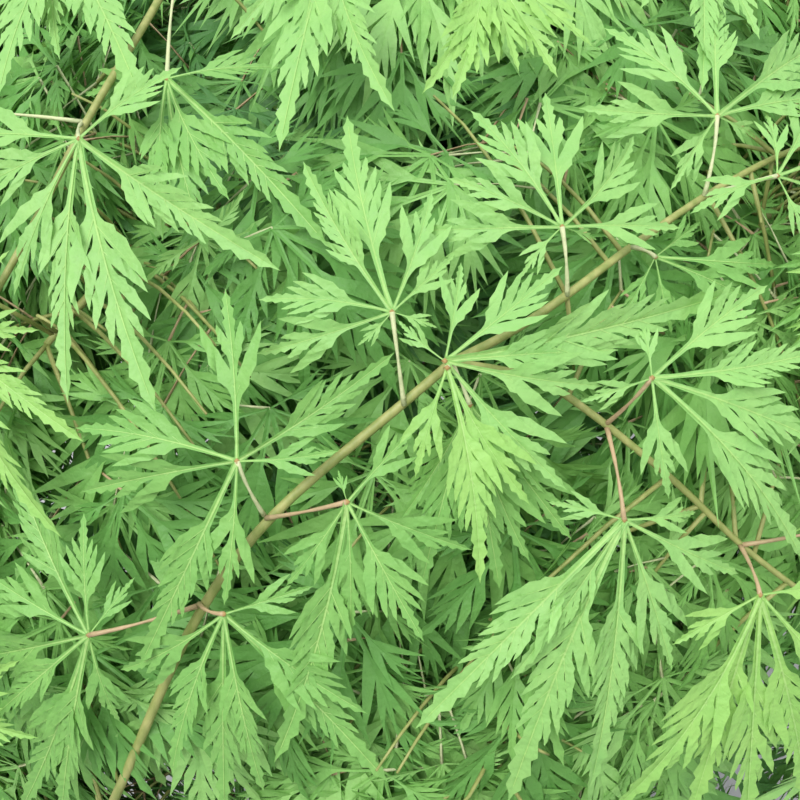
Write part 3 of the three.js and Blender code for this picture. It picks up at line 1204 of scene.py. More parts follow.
class Twigs:
    """Twigs, leaf stalks and the knots where a leaf's lobes meet, gathered by region and kind."""

    SWELL = 0.35
    EIGHT_FACES = ((0, 3, 2), (0, 4, 3), (0, 5, 4), (0, 2, 5), (1, 2, 3), (1, 3, 4), (1, 4, 5), (1, 5, 2))

    def __init__(self) -> None:
        """Starts with none."""
        self._heaps: dict[tuple[str, str, Enum], Heap] = defaultdict(Heap)

    def twig(self, region: str, track: Place, radii: Place, sides: int) -> None:
        """Adds a twig along a track."""
        self._heaps[region, "twigs", Wood.TWIG].add(*tube(track, radii, sides))

    def stalk(self, region: str, shade: Shade, track: Place, radius: float, sides: int) -> None:
        """Adds a leaf's stalk, a little thicker at both ends.

        Args:
            region: The region that it belongs to.
            shade: Its tint.
            track: The points along it, n by 3.
            radius: Its radius.
            sides: Number of sides.
        """
        radii = radius * (1 + self.SWELL * np.cos(np.linspace(0, 2 * np.pi, len(track))) ** 3)
        kind = "stalks" + shade.name.removeprefix("STALK").lower()
        self._heaps[region, kind, shade].add(*tube(track, radii, sides))

    def knot(self, region: str, place: Place, radius: float) -> None:
        """Adds the knot at a leaf's middle."""
        ends = np.array([[0, 0, -1], [0, 0, 1], [1, 0, 0], [0, 1, 0], [-1, 0, 0], [0, -1, 0]], float)
        self._heaps[region, "knots", Shade.KNOT].add(place + ends * radius, np.array(self.EIGHT_FACES))

    def show(self, nodes_of: Callable[[str], list[str]]) -> None:
        """Joins each kind in each region into a piece and shows it.

        Args:
            nodes_of: Gives the solids that a region's twigs and stalks stand for.
        """
        finishes: dict[Enum, bpy.types.Material] = {}
        for (region, kind, finish), heap in self._heaps.items():
            if finish not in finishes:
                finishes[finish] = finish.value.material()
            show(heap.piece(f"{kind}_{region}"), finishes[finish], nodes_of(region))


@dataclass
class LeafHabit:
    """How a leaf is held: its lobes' turns and lengths, and how they droop, tilt and bend."""

    variants: int = 4
    turns: tuple[float, ...] = (0, 30, -30, 62, -62, 100, -100)
    shares: tuple[float, ...] = (1, 0.95, 0.95, 0.8, 0.8, 0.5, 0.5)
    droop: float = 0.3
    arch: float = 0.08
    sweep: float = 0.12
    fold: float = 0.35
    uneven_turn: float = 13
    uneven_length: float = 0.24
    sags: Span = (0.7, 0.8)
    tilts: Span = (0.5, 0.3)

    def lobes(self, middle: Place, ahead: Place, face: Place, length: float, numbers: Numbers) -> list[Lobe]:
        """Spreads the lobes of one leaf.

        Args:
            middle: Where the lobes meet.
            ahead: The direction of the middle lobe.
            face: The direction that the upper face looks in.
            length: The middle lobe's length.
            numbers: Source of its irregularities.

        Returns:
            The lobes.
        """
        aside = np.cross(ahead, face)
        made = []
        for turn, share in zip(self.turns, self.shares):
            angle = math.radians(turn + numbers.about(self.uneven_turn))
            reach = length * share * (1 + numbers.about(self.uneven_length))
            way = ahead * math.cos(angle) + aside * math.sin(angle)
            sag = self.droop * (self.sags[0] + numbers.about(self.sags[1]))
            tip = middle + unit(way - UP * sag) * reach
            tilted = unit(face + aside * numbers.about(self.tilts[0]) + ahead * numbers.about(self.tilts[1]))
            arch = self.arch * (1 + numbers.about(1))
            sweep, variant = numbers.about(self.sweep), int(numbers.draw() * self.variants)
            made.append(Lobe(middle, tip, tilted, arch, sweep, self.fold, variant))
        return made


@dataclass
class Foliage:
    """The sprays of twigs and leaves of every mass, grown by the rule of the solids and carried on finer.

    Shares are of the dome's radius, unless they are along a stem, a twig or a bough. Pairs of numbers are the
    least and the most of what is drawn between them.
    """

    INSIDE_SEED = 500
    GAP_SEED = 700

    crown: Crown
    view: View
    leaves: Leaves
    twigs: Twigs
    habit: LeafHabit = field(default_factory=LeafHabit)
    # Stems and twigs.
    stem_rings: int = 12
    stem_sides: int = 7
    stem_radii: Span = (0.0036, 0.0014)
    twig_rings: int = 5
    twig_sides: int = 5
    twig_radii: Span = (0.001, 0.0005)
    twig_sag: float = 0.18
    twig_crest: Span = (0.55, 0.06)
    nodes: tuple[float, ...] = (0.45, 0.75, 1.0)
    last_heading: float = 0.99
    # Leaves and their stalks.
    leaf_length: float = 0.064
    uneven_length: float = 0.5
    stalk_length: Span = (0.018, 0.036)
    stalk_ahead: Span = (0.3, 1.0)
    stalk_out: Span = (-0.1, 0.8)
    stalk_rise: float = 0.08
    stalk_radius: float = 0.00055
    stalk_sides: tuple[int, int] = (3, 4)
    leaf_aside: float = 0.8
    leaf_inward: float = 0.15
    leaf_jitter: float = 0.5
    face_up: float = 0.35
    # Where sprays grow on a stem, and how far.
    along: Span = (0.06, 0.98)
    rolls: Span = (0.15, 1.9)
    reaches: Span = (0.35, 1.08)
    end_reach: float = 0.5
    lean: float = 0.45
    # The room that leaves have, and the depths at which they are cut finer or left out.
    lowest: float = 0.288
    limb_room: float = 0.009
    box_room: float = 0.006
    outermost: float = 1.11
    topmost: float = 1.03
    near_share: float = 0.955
    # Painted shade: how much deeper the leaves under the near shoots count when their green is dealt.
    shade_under_near: float = 0.06
    outer_share: float = 0.94
    inner_share: float = 0.62
    twig_share: float = 1.0
    # Sprays in front of the camera, inside the crown and between the masses.
    front_sprays: int = 12
    inner_sprays: int = 5
    inner_along: Span = (0.5, 0.98)
    inner_reaches: Span = (0.4, 0.8)
    inner_aside: Span = (0.1, 1.1)
    inner_out: Span = (0.3, 1)
    gap: float = 0.095
    gap_share: float = 0.92
    gap_along: Span = (0.1, 1)
    gap_polars: tuple[float, ...] = (66, 78, 90, 102)
    gap_step: int = 9
    # Painted light and shade by depth: leaves further out get lighter greens, deeper ones darker.
    uneven_depth: float = 0.22
    depths: tuple[tuple[float, Shade], ...] = (
        (1.035, Shade.YOUNG_AND_LIT), (0.94, Shade.SUNLIT), (0.84, Shade.FRESH), (0.74, Shade.HALF_SHADED),
    )
    cream_share: float = 0.6

    def __post_init__(self) -> None:
        """Notes where the limbs are and how far the solids reach, so that no leaf sits in or past them."""
        self._limb_points = self.crown.limb_points()
        low, high = SOLID_BOX
        self._low, self._high = np.array(low) - self.box_room, np.array(high) + self.box_room

    def grow(self) -> None:
        """Grows every mass with the shaded sprays on its bough, and the sprays between the masses."""
        for mass, bough in zip(self.crown.masses, self.crown.boughs):
            self._grow_mass(mass)
            self._grow_inside(mass, bough)
        self._close_gaps()

    def _grow_mass(self, mass: Mass) -> None:
        """Grows one mass: its stem, the sprays along it and the spray at its end.

        Args:
            mass: The mass.
        """
        numbers = Numbers(mass.seed)
        stem_track = mass.curve.at(np.linspace(0, 1, self.stem_rings))
        radii = np.linspace(*self.stem_radii, self.stem_rings)
        self.twigs.twig(mass.tier.name, stem_track, radii, self.stem_sides)
        more = self.front_sprays if self.view.is_near(self.crown, mass.curve.at(0.5)) else 0
        for index in range(mass.tier.sprays + more):
            along = numbers.between(*self.along)
            root = mass.curve.at(along)
            tangent = mass.curve.heading(along)
            sideways = unit(np.cross(tangent, root - self.crown.heart))
            face = unit(np.cross(sideways, tangent))
            roll = numbers.between(*self.rolls) * (1 if index % 2 == 0 else -1)
            reach = mass.tier.spread * numbers.between(*self.reaches)
            heading = unit(sideways * math.sin(roll) + face * math.cos(roll) + tangent * self.lean)
            self.grow_spray(mass, root, heading, reach, numbers)
        reach = mass.tier.spread * self.end_reach
        self.grow_spray(mass, mass.curve.at(1), mass.curve.heading(1), reach, numbers)

    def _grow_inside(self, mass: Mass, bough: Limb) -> None:
        """Grows the sprays in the shade under one mass, out from its bough.

        Args:
            mass: The mass.
            bough: Its bough.
        """
        numbers = Numbers(mass.seed + self.INSIDE_SEED)
        for index in range(self.inner_sprays):
            root = bough.curve.evenly(numbers.between(*self.inner_along))
            out = self.crown.outward(root)
            aside = unit(np.cross(out, UP)) * (1 if index % 2 == 0 else -1)
            way = aside * numbers.between(*self.inner_aside) + out * numbers.between(*self.inner_out)
            heading = unit(way + UP * numbers.about(1))
            reach = mass.tier.spread * numbers.between(*self.inner_reaches)
            self.grow_spray(mass, root, heading, reach, numbers)

    def _close_gaps(self) -> None:
        """Grows a spray to each place of the lower crown that is far from every stem, from the nearest."""
        numbers = Numbers(self.crown.seed + self.GAP_SEED)
        shares = np.linspace(*self.gap_along, self.stem_rings)
        owners = [mass for mass in self.crown.masses for _ in shares]
        roots = np.concatenate([mass.curve.at(shares) for mass in self.crown.masses])
        for polar in self.gap_polars:
            for compass in range(0, 360, self.gap_step):
                ways = self.crown.place(polar, compass, self.gap_share) - roots
                distances = np.linalg.norm(ways, axis=1)
                nearest = np.argmin(distances)
                reach = distances[nearest]
                if reach > self.gap:
                    self.grow_spray(owners[nearest], roots[nearest], ways[nearest] / reach, reach, numbers)

    def grow_spray(self, mass: Mass, root: Place, heading: Place, reach: float, numbers: Numbers) -> None:
        """Grows one twig that arches over, with pairs of leaves at its nodes.

        Args:
            mass: The mass that it belongs to.
            root: Where it leaves its limb.
            heading: Its direction there.
            reach: How far it reaches.
            numbers: Source of its irregularities.
        """
        end = root + heading * reach - UP * reach * self.twig_sag
        if self.crown.share_of(end) > self.twig_share:
            end = self.crown.heart + (end - self.crown.heart) * self.twig_share / self.crown.share_of(end)
        ahead, up = self.twig_crest
        curve = Curve(root, root + heading * reach * ahead + UP * reach * up, end)
        track = curve.at(np.linspace(0, 1, self.twig_rings))
        radii = np.linspace(*self.twig_radii, self.twig_rings)
        self.twigs.twig(mass.tier.name, track, radii, self.twig_sides)
        for node in self.nodes:
            place, way = curve.at(node), curve.heading(min(node, self.last_heading))
            out = self.crown.outward(place)
            aside = unit(np.cross(way, out))
            for side in (1, -1):
                length = numbers.between(*self.stalk_length)
                lean = aside * side + way * numbers.between(*self.stalk_ahead)
                lean = unit(lean + out * numbers.between(*self.stalk_out))
                self._grow_leaf(mass, place, lean, length, numbers)

    def _grow_leaf(self, mass: Mass, node: Place, lean: Place, stalk: float, numbers: Numbers) -> None:
        """Grows one leaf on its stalk, unless it would leave the crown or touch a limb.

        Args:
            mass: The mass that it belongs to.
            node: Where its stalk leaves the twig.
            lean: The stalk's direction.
            stalk: The stalk's length.
            numbers: Source of its irregularities.
        """
        middle = node + lean * stalk
        share = self.crown.share_of(middle)
        out = self.crown.outward(middle)
        downhill = unit(out * out[2] - UP)
        aside = lean - out * (lean @ out)
        jitter = np.array([numbers.about(self.leaf_jitter) for _ in range(3)])
        ahead = unit(downhill + aside * self.leaf_aside - out * self.leaf_inward + jitter)
        skyward = out + UP * self.face_up
        face = unit(skyward - ahead * (ahead @ skyward))
        length = self.leaf_length * (1 + numbers.about(self.uneven_length))
        lobes = self.habit.lobes(middle, ahead, face, length, numbers)
        in_view = self.view.is_near(self.crown, middle)
        # Painted shade: the deeper a leaf hangs, and the more it lies under the near shoots, the darker its
        # green.
        shade, cream = self._tints(share - (self.shade_under_near if in_view else 0), numbers)
        if not self.inner_share < share < (self.near_share if in_view else self.topmost):
            return
        tips = np.array([lobe.tip for lobe in lobes])
        if tips[:, 2].min() < self.lowest or (tips < self._low).any() or (tips > self._high).any():
            return
        if max(self.crown.share_of(tip) for tip in tips) > self.outermost:
            return
        if np.linalg.norm(self._limb_points - middle, axis=1).min() < self.limb_room:
            return
        detail = Detail.SMALL
        if share > self.outer_share:
            detail = Detail.CLEAR if in_view else Detail.PLAIN
        for lobe in lobes:
            self.leaves.add(mass.tier.name, shade, detail, lobe)
        bend = node + lean * stalk * 0.5 + UP * stalk * self.stalk_rise
        sides = self.stalk_sides[detail == Detail.CLEAR]
        track = Curve(node, bend, middle).at(np.linspace(0, 1, sides))
        tint = Shade.STALK_CREAM if cream else Shade.STALK_TAN
        self.twigs.stalk(mass.tier.name, tint, track, self.stalk_radius, sides)

    def _tints(self, share: float, numbers: Numbers) -> tuple[Shade, bool]:
        """Deals a leaf its green by how far out it hangs: painted light outside, painted shade deeper in.

        Args:
            share: Share of the dome's radius.
            numbers: Source of its irregularities.

        Returns:
            The green, and whether the stalk is cream.
        """
        depth = share + numbers.about(self.uneven_depth)
        shade = next((shade for least, shade in self.depths if depth > least), Shade.SHADED)
        return shade, numbers.draw() < self.cream_share


@dataclass(frozen=True)
class NearLeaf:
    """A leaf in front of the camera: the pixels of its middle, its stalk's foot and the tips of its lobes.

    The lift of a leaf or twig is the share of the dome's radius that it hangs at.
    """

    middle: Pixel
    stalk: Pixel
    lift: float
    # The leaf's green, painted light or painted shade.
    shade: Shade
    tips: tuple[Pixel, ...]
    stalk_shade: Shade = Shade.STALK_CREAM


@dataclass(frozen=True)
class NearTwig:
    """A twig in front of the camera: its pixels from the foot to the tip, its lift and its radii."""

    track: tuple[Pixel, ...]
    lift: float = 0.98
    radii: Span = (0.0014, 0.001)


NEAR_TWIGS = (
    NearTwig(((60, 905), (115, 800), (178, 650), (199, 604), (264, 515), (330, 463), (400, 408), (452, 362)),
             0.978, (0.0022, 0.0017)),
    NearTwig(((452, 362), (510, 334), (565, 297), (630, 247), (704, 196), (762, 163), (840, 130)),
             0.978, (0.0017, 0.0011)),
    NearTwig(((452, 362), (540, 376), (606, 424), (680, 485), (740, 545), (785, 580), (850, 625)),
             0.98, (0.0015, 0.001)),
    NearTwig(((215, -110), (160, 0), (120, 65), (84, 122), (58, 178), (0, 288), (-60, 380)),
             0.99, (0.0019, 0.0013)),
    NearTwig(((530, -105), (515, -78), (497, -52), (480, -36))),
    NearTwig(((372, -128), (356, -102), (340, -78), (325, -62))),
    NearTwig(((742, -134), (725, -110), (708, -88), (690, -72))),
    NearTwig(((104, -122), (88, -100), (72, -78), (58, -62))),
    NearTwig(((-132, 600), (-112, 635), (-90, 668), (-72, 700))),
)

# Each near leaf gets a lit green or a painted-shade green, as light falls on it.
NEAR_LEAVES = (
    NearLeaf((79, 139), (84, 122), 1.035, Shade.SUNLIT,
             ((182, 67), (281, 271), (157, 415), (68, 404), (14, 296), (-42, 200), (-50, 136))),
    NearLeaf((167, 79), (179, -38), 0.985, Shade.FRESH,
             ((281, 68), (329, 247), (230, 201), (209, 255), (163, 242), (85, 96))),
    NearLeaf((392, 312), (404, 405), 1.01, Shade.SUNLIT,
             ((258, 300), (256, 354), (303, 161), (347, 115), (432, 190), (455, 254), (357, 346),
              (438, 328))),
    NearLeaf((237, 461), (264, 515), 1.02, Shade.FRESH,
             ((75, 428), (80, 492), (140, 666), (224, 606), (339, 451), (395, 352), (225, 288))),
    NearLeaf((562, 227), (567, 296), 1.01, Shade.SUNLIT,
             ((415, 231), (447, 178), (470, 110), (545, 92), (634, 135), (681, 228), (520, 279), (597, 240))),
    NearLeaf((717, 116), (704, 196), 1.015, Shade.SUNLIT,
             ((578, 108), (604, 28), (715, -15), (830, 40), (838, 98), (756, 138), (670, 191))),
    NearLeaf((777, 176), (710, 194), 1.02, Shade.SUNLIT,
             ((812, 92), (860, 140), (865, 205), (812, 250), (690, 214), (764, 110))),
    NearLeaf((655, 257), (632, 247), 0.988, Shade.FRESH,
             ((604, 235), (777, 265), (755, 303), (700, 222), (672, 335), (620, 320))),
    NearLeaf((445, 361), (452, 362), 1.045, Shade.SUNLIT,
             ((461, 262), (563, 266), (735, 291), (619, 350), (604, 386), (567, 490), (398, 320))),
    NearLeaf((447, 368), (452, 362), 1.055, Shade.YOUNG_AND_LIT,
             ((480, 584), (415, 478), (530, 505))),
    NearLeaf((470, 405), (452, 362), 1.005, Shade.FRESH,
             ((545, 494), (530, 562), (461, 534), (572, 540), (500, 590), (400, 520), (420, 590))),
    NearLeaf((652, 378), (606, 424), 1.035, Shade.SUNLIT,
             ((580, 402), (640, 316), (768, 285), (840, 345), (838, 452), (802, 560), (669, 499)),
             Shade.STALK_TAN),
    NearLeaf((347, 502), (266, 518), 1.03, Shade.FRESH,
             ((418, 425), (338, 470), (472, 550), (424, 642), (274, 763), (286, 586), (350, 640)),
             Shade.STALK_TAN),
    NearLeaf((224, 614), (199, 604), 1.01, Shade.FRESH,
             ((120, 670), (172, 776), (225, 812), (264, 792), (388, 782), (368, 714), (314, 586)),
             Shade.STALK_TAN),
    NearLeaf((89, 635), (197, 606), 1.005, Shade.FRESH,
             ((84, 512), (135, 577), (4, 430), (-18, 570), (-38, 660), (-12, 722), (22, 808), (62, 815),
              (120, 722)),
             Shade.STALK_TAN),
    NearLeaf((624, 520), (607, 428), 1.02, Shade.SUNLIT,
             ((547, 502), (415, 729), (510, 680), (508, 802), (590, 788), (672, 670), (739, 574), (696, 512)),
             Shade.STALK_TAN),
    NearLeaf((760, 595), (740, 545), 1.03, Shade.YOUNG_AND_LIT,
             ((672, 645), (612, 810), (690, 815), (745, 838), (806, 805), (840, 690), (838, 588)),
             Shade.STALK_TAN),
    NearLeaf((490, -32), (497, -52), 1.03, Shade.YOUNG_AND_LIT,
             ((452, 100), (422, 94), (470, 69), (502, 60), (519, 72), (558, 78), (593, 47))),
    NearLeaf((330, -60), (340, -78), 1.03, Shade.SUNLIT,
             ((279, 152), (395, 112), (300, 60), (350, 40), (230, 40))),
    NearLeaf((60, -60), (72, -78), 1.03, Shade.SUNLIT,
             ((148, 118), (-2, 98), (60, 60), (20, 30))),
    NearLeaf((700, -70), (708, -88), 1.03, Shade.SUNLIT,
             ((702, 93), (640, 10), (760, 40), (800, 0))),
    NearLeaf((-60, 330), (-60, 380), 1.03, Shade.YOUNG_AND_LIT,
             ((84, 442), (62, 538), (-10, 460), (40, 330), (10, 250))),
    NearLeaf((-70, 700), (-90, 668), 1.03, Shade.YOUNG_AND_LIT,
             ((39, 738), (-20, 800), (20, 660), (0, 850))),
    NearLeaf((-38, 112), (84, 122), 1.02, Shade.FRESH,
             ((-112, 50), (-125, 110), (-105, 180), (-50, 210), (-60, 30))),
    NearLeaf((852, 522), (741, 545), 1.02, Shade.SUNLIT,
             ((905, 440), (940, 500), (935, 570), (880, 620), (850, 450)),
             Shade.STALK_TAN),
)


@dataclass
class NearShoots:
    """The shoots in front of the camera: twigs and leaves that lie on the dome where the picture has them."""

    SPRAY_SEED = 900

    foliage: Foliage
    region: str = "near"
    arch: float = 0.05
    sweep: float = 0.07
    fold: float = 0.3
    tilt: float = 0.7
    tip_drop: float = 0.012
    uneven_lift: float = 0.03
    stalk_lift: float = 0.98
    stalk_bend: float = 0.004
    stalk_rings: int = 10
    stalk_sides: int = 8
    stalk_radius: float = 0.00075
    knot_radius: float = 0.0013
    short_lobe: float = 0.042
    long_lobe: float = 0.062
    bend_limit: float = -0.45
    twig_rings: int = 60
    twig_sides: int = 12
    smoothings: int = 12
    stem_points: int = 20
    mass_at: float = 0.6
    under_sprays: int = 9
    under_reaches: Span = (0.05, 0.12)
    under_inward: Span = (0.3, 1.2)
    under_rise: float = 0.8

    def __post_init__(self) -> None:
        """Takes the crown, the view and the gathered leaves and twigs from the foliage."""
        self.crown, self.view = self.foliage.crown, self.foliage.view
        self.leaves, self.twigs = self.foliage.leaves, self.foliage.twigs

    def grow(self) -> None:
        """Grows the twigs, the shaded sprays under them and then the leaves."""
        numbers = Numbers(self.crown.seed + self.SPRAY_SEED)
        for twig in NEAR_TWIGS:
            self._grow_under(self._grow_twig(twig), numbers)
        numbers = Numbers(self.crown.seed)
        for leaf in NEAR_LEAVES:
            self._grow_leaf(leaf, numbers)

    def _place(self, pixel: Pixel, share: float) -> Place:
        """Returns the point of the dome behind a pixel."""
        return self.view.on_dome(self.crown, pixel, share)

    def _grow_under(self, track: Place, numbers: Numbers) -> None:
        """Grows small sprays from a twig to its sides and inwards, which close the crown under it.

        Args:
            track: The points along the twig.
            numbers: Source of the sprays' irregularities.
        """
        for index in range(self.under_sprays):
            root = track[round(numbers.draw() * (len(track) - 1))]
            mass = min(self.crown.masses, key=lambda mass: np.linalg.norm(mass.curve.at(self.mass_at) - root))
            out = self.crown.outward(root)
            aside = unit(np.cross(out, track[-1] - track[0])) * (1 if index % 2 == 0 else -1)
            heading = aside - out * numbers.between(*self.under_inward)
            heading = unit(heading + UP * numbers.about(self.under_rise))
            self.foliage.grow_spray(mass, root, heading, numbers.between(*self.under_reaches), numbers)

    def _grow_twig(self, twig: NearTwig) -> Place:
        """Grows one twig through its pixels, led in from a stem or bough behind if its foot is out of view.

        Args:
            twig: The twig.

        Returns:
            The points along it.
        """
        knots = [self._place(pixel, twig.lift) for pixel in twig.track]
        if not 0 <= twig.track[0][1] <= self.view.frame_pixels:
            stems = [mass.curve.at(np.linspace(0, 1, self.stem_points)) for mass in self.crown.masses]
            near = np.concatenate([*stems, self.crown.limb_points()])
            ways = near - knots[0]
            distances = np.linalg.norm(ways, axis=1)
            is_behind = ways @ unit(knots[1] - knots[0]) < distances * self.bend_limit
            knots.insert(0, near[np.argmin(np.where(is_behind, distances, np.inf))])
        knots = np.array(knots)
        steps = np.concatenate([[0], np.cumsum(np.linalg.norm(np.diff(knots, axis=0), axis=1))])
        even = np.linspace(0, steps[-1], self.twig_rings)
        track = np.stack([np.interp(even, steps, knots[:, axis]) for axis in range(3)], axis=1)
        for _ in range(self.smoothings):
            track[1:-1] = (track[:-2] + 2 * track[1:-1] + track[2:]) / 4
        self.twigs.twig(self.region, track, np.linspace(*twig.radii, len(track)), self.twig_sides)
        return track

    def _grow_leaf(self, leaf: NearLeaf, numbers: Numbers) -> None:
        """Grows one leaf with its stalk and knot.

        Args:
            leaf: The leaf.
            numbers: Source of its irregularities.
        """
        middle = self._place(leaf.middle, leaf.lift)
        out = self.crown.outward(middle)
        face = unit(out - self.view.axes()[2])
        for pixel in leaf.tips:
            tip = self._place(pixel, leaf.lift - self.tip_drop + numbers.about(self.uneven_lift))
            across = unit(np.cross(tip - middle, face))
            tilted = unit(face + across * numbers.about(self.tilt))
            arch = self.arch * (1 + numbers.about(1))
            length = np.linalg.norm(tip - middle)
            variant = (2 if length > self.long_lobe else 0) + int(numbers.draw() * 2)
            variant = 0 if length < self.short_lobe else variant
            lobe = Lobe(middle, tip, tilted, arch, numbers.about(self.sweep), self.fold, variant)
            self.leaves.add(self.region, leaf.shade, Detail.FINE, lobe)
        foot = self._place(leaf.stalk, self.stalk_lift)
        bend = (foot + middle) / 2 + out * self.stalk_bend
        track = Curve(foot, bend, middle).at(np.linspace(0, 1, self.stalk_rings))
        self.twigs.stalk(self.region, leaf.stalk_shade, track, self.stalk_radius, self.stalk_sides)
        self.twigs.knot(self.region, middle, self.knot_radius)


@dataclass
class Woodwork:
    """The trunk and boughs, with the relief of their bark."""

    crown: Crown
    trunk_sides: int = 56
    trunk_rings: int = 120
    bough_sides: int = 14
    bough_rings: int = 44
    furrow: float = 0.0011
    furrow_spots: Colour = (2.6, 2.6, 9)
    furrow_roughness: tuple[float, float, int] = (0.9, 2.1, 4)
    scar: float = 0.00088
    scar_spots: float = 38
    collar: float = 0.00045
    collars: int = 6
    collar_narrowness: float = 24
    foot_swell: float = 0.35
    foot_fade: float = 26
    grain: float = 0.000275
    grain_spots: Colour = (160, 160, 60)
    skin: float = 0.02

    def build(self) -> None:
        """Builds the trunk, then all boughs as one piece."""
        trunk = bmesh.new()
        self._lay(trunk, self.crown.trunk.curve, self._trunk_radius, self.trunk_sides, self.trunk_rings)
        show(moulded("trunk_bark", trunk), Wood.TRUNK.value.material(), ["trunk"])
        boughs = bmesh.new()
        for bough in self.crown.boughs:
            made = bmesh.new()
            self._lay(made, bough.curve, self._bough_radius(bough), self.bough_sides, self.bough_rings)
            part = bpy.data.meshes.new("bough")
            made.to_mesh(part)
            made.free()
            boughs.from_mesh(part)
            bpy.data.meshes.remove(part)
        nodes = [f"bough_{bough.name}" for bough in self.crown.boughs]
        show(moulded("boughs_bark", boughs), Wood.BOUGH.value.material(), nodes)

    def _trunk_radius(self, share: float, across: Vector, place: Vector) -> float:
        """Finds the trunk's radius with furrows that run up it and old twig scars.

        Args:
            share: Share of its length.
            across: Direction from its middle line.
            place: The place on its skin.

        Returns:
            The radius.
        """
        spot = Vector((across.x, across.y, place.z)) * Vector(self.furrow_spots)
        furrows = noise.fractal(spot, *self.furrow_roughness)
        scars = noise.noise(place * self.scar_spots)
        return self.crown.trunk.radius(share, across) + self.furrow * furrows + self.scar * scars

    def _bough_radius(self, bough: Limb) -> Callable[[float, Vector, Vector], float]:
        """Makes the function that gives a bough's radius, with rings at its nodes and a swollen foot.

        Args:
            bough: The bough.

        Returns:
            The function.
        """

        def radius(share: float, across: Vector, place: Vector) -> float:
            """Finds the bough's radius.

            Args:
                share: Share of its length.
                across: Direction from its middle line.
                place: The place on its skin.

            Returns:
                The radius.
            """
            nodes = max(0, math.cos(share * 2 * math.pi * self.collars)) ** self.collar_narrowness
            foot = math.exp(-share * self.foot_fade) * self.foot_swell * bough.foot_radius
            grain = noise.noise(place * Vector(self.grain_spots))
            return bough.radius(share) + foot + self.collar * nodes + self.grain * grain

        return radius

    def _lay(self, form: bmesh.types.BMesh, curve: Curve, radius: Callable, sides: int, rings: int) -> None:
        """Lays a limb along a curve.

        Args:
            form: An empty bmesh to make it in.
            curve: The limb's middle line.
            radius: Gives the radius by share of the length, direction across and place.
            sides: Number of sides.
            rings: Number of rings of faces.
        """
        bmesh.ops.create_cone(form, cap_ends=True, segments=sides, radius1=1, radius2=1, depth=1)
        uprights = [edge for edge in form.edges if abs(edge.verts[0].co.z - edge.verts[1].co.z) > 0.5]
        bmesh.ops.subdivide_edges(form, edges=uprights, cuts=rings - 1)
        track = curve.evenly(np.linspace(0, 1, rings + 1))
        first, second = frames_along(track)
        for corner in form.verts:
            share = corner.co.z + 0.5
            ring = round(share * rings)
            across = Vector(first[ring]) * corner.co.x + Vector(second[ring]) * corner.co.y
            middle = Vector(track[ring])
            corner.co = middle + across * radius(share, across, middle + across * self.skin)


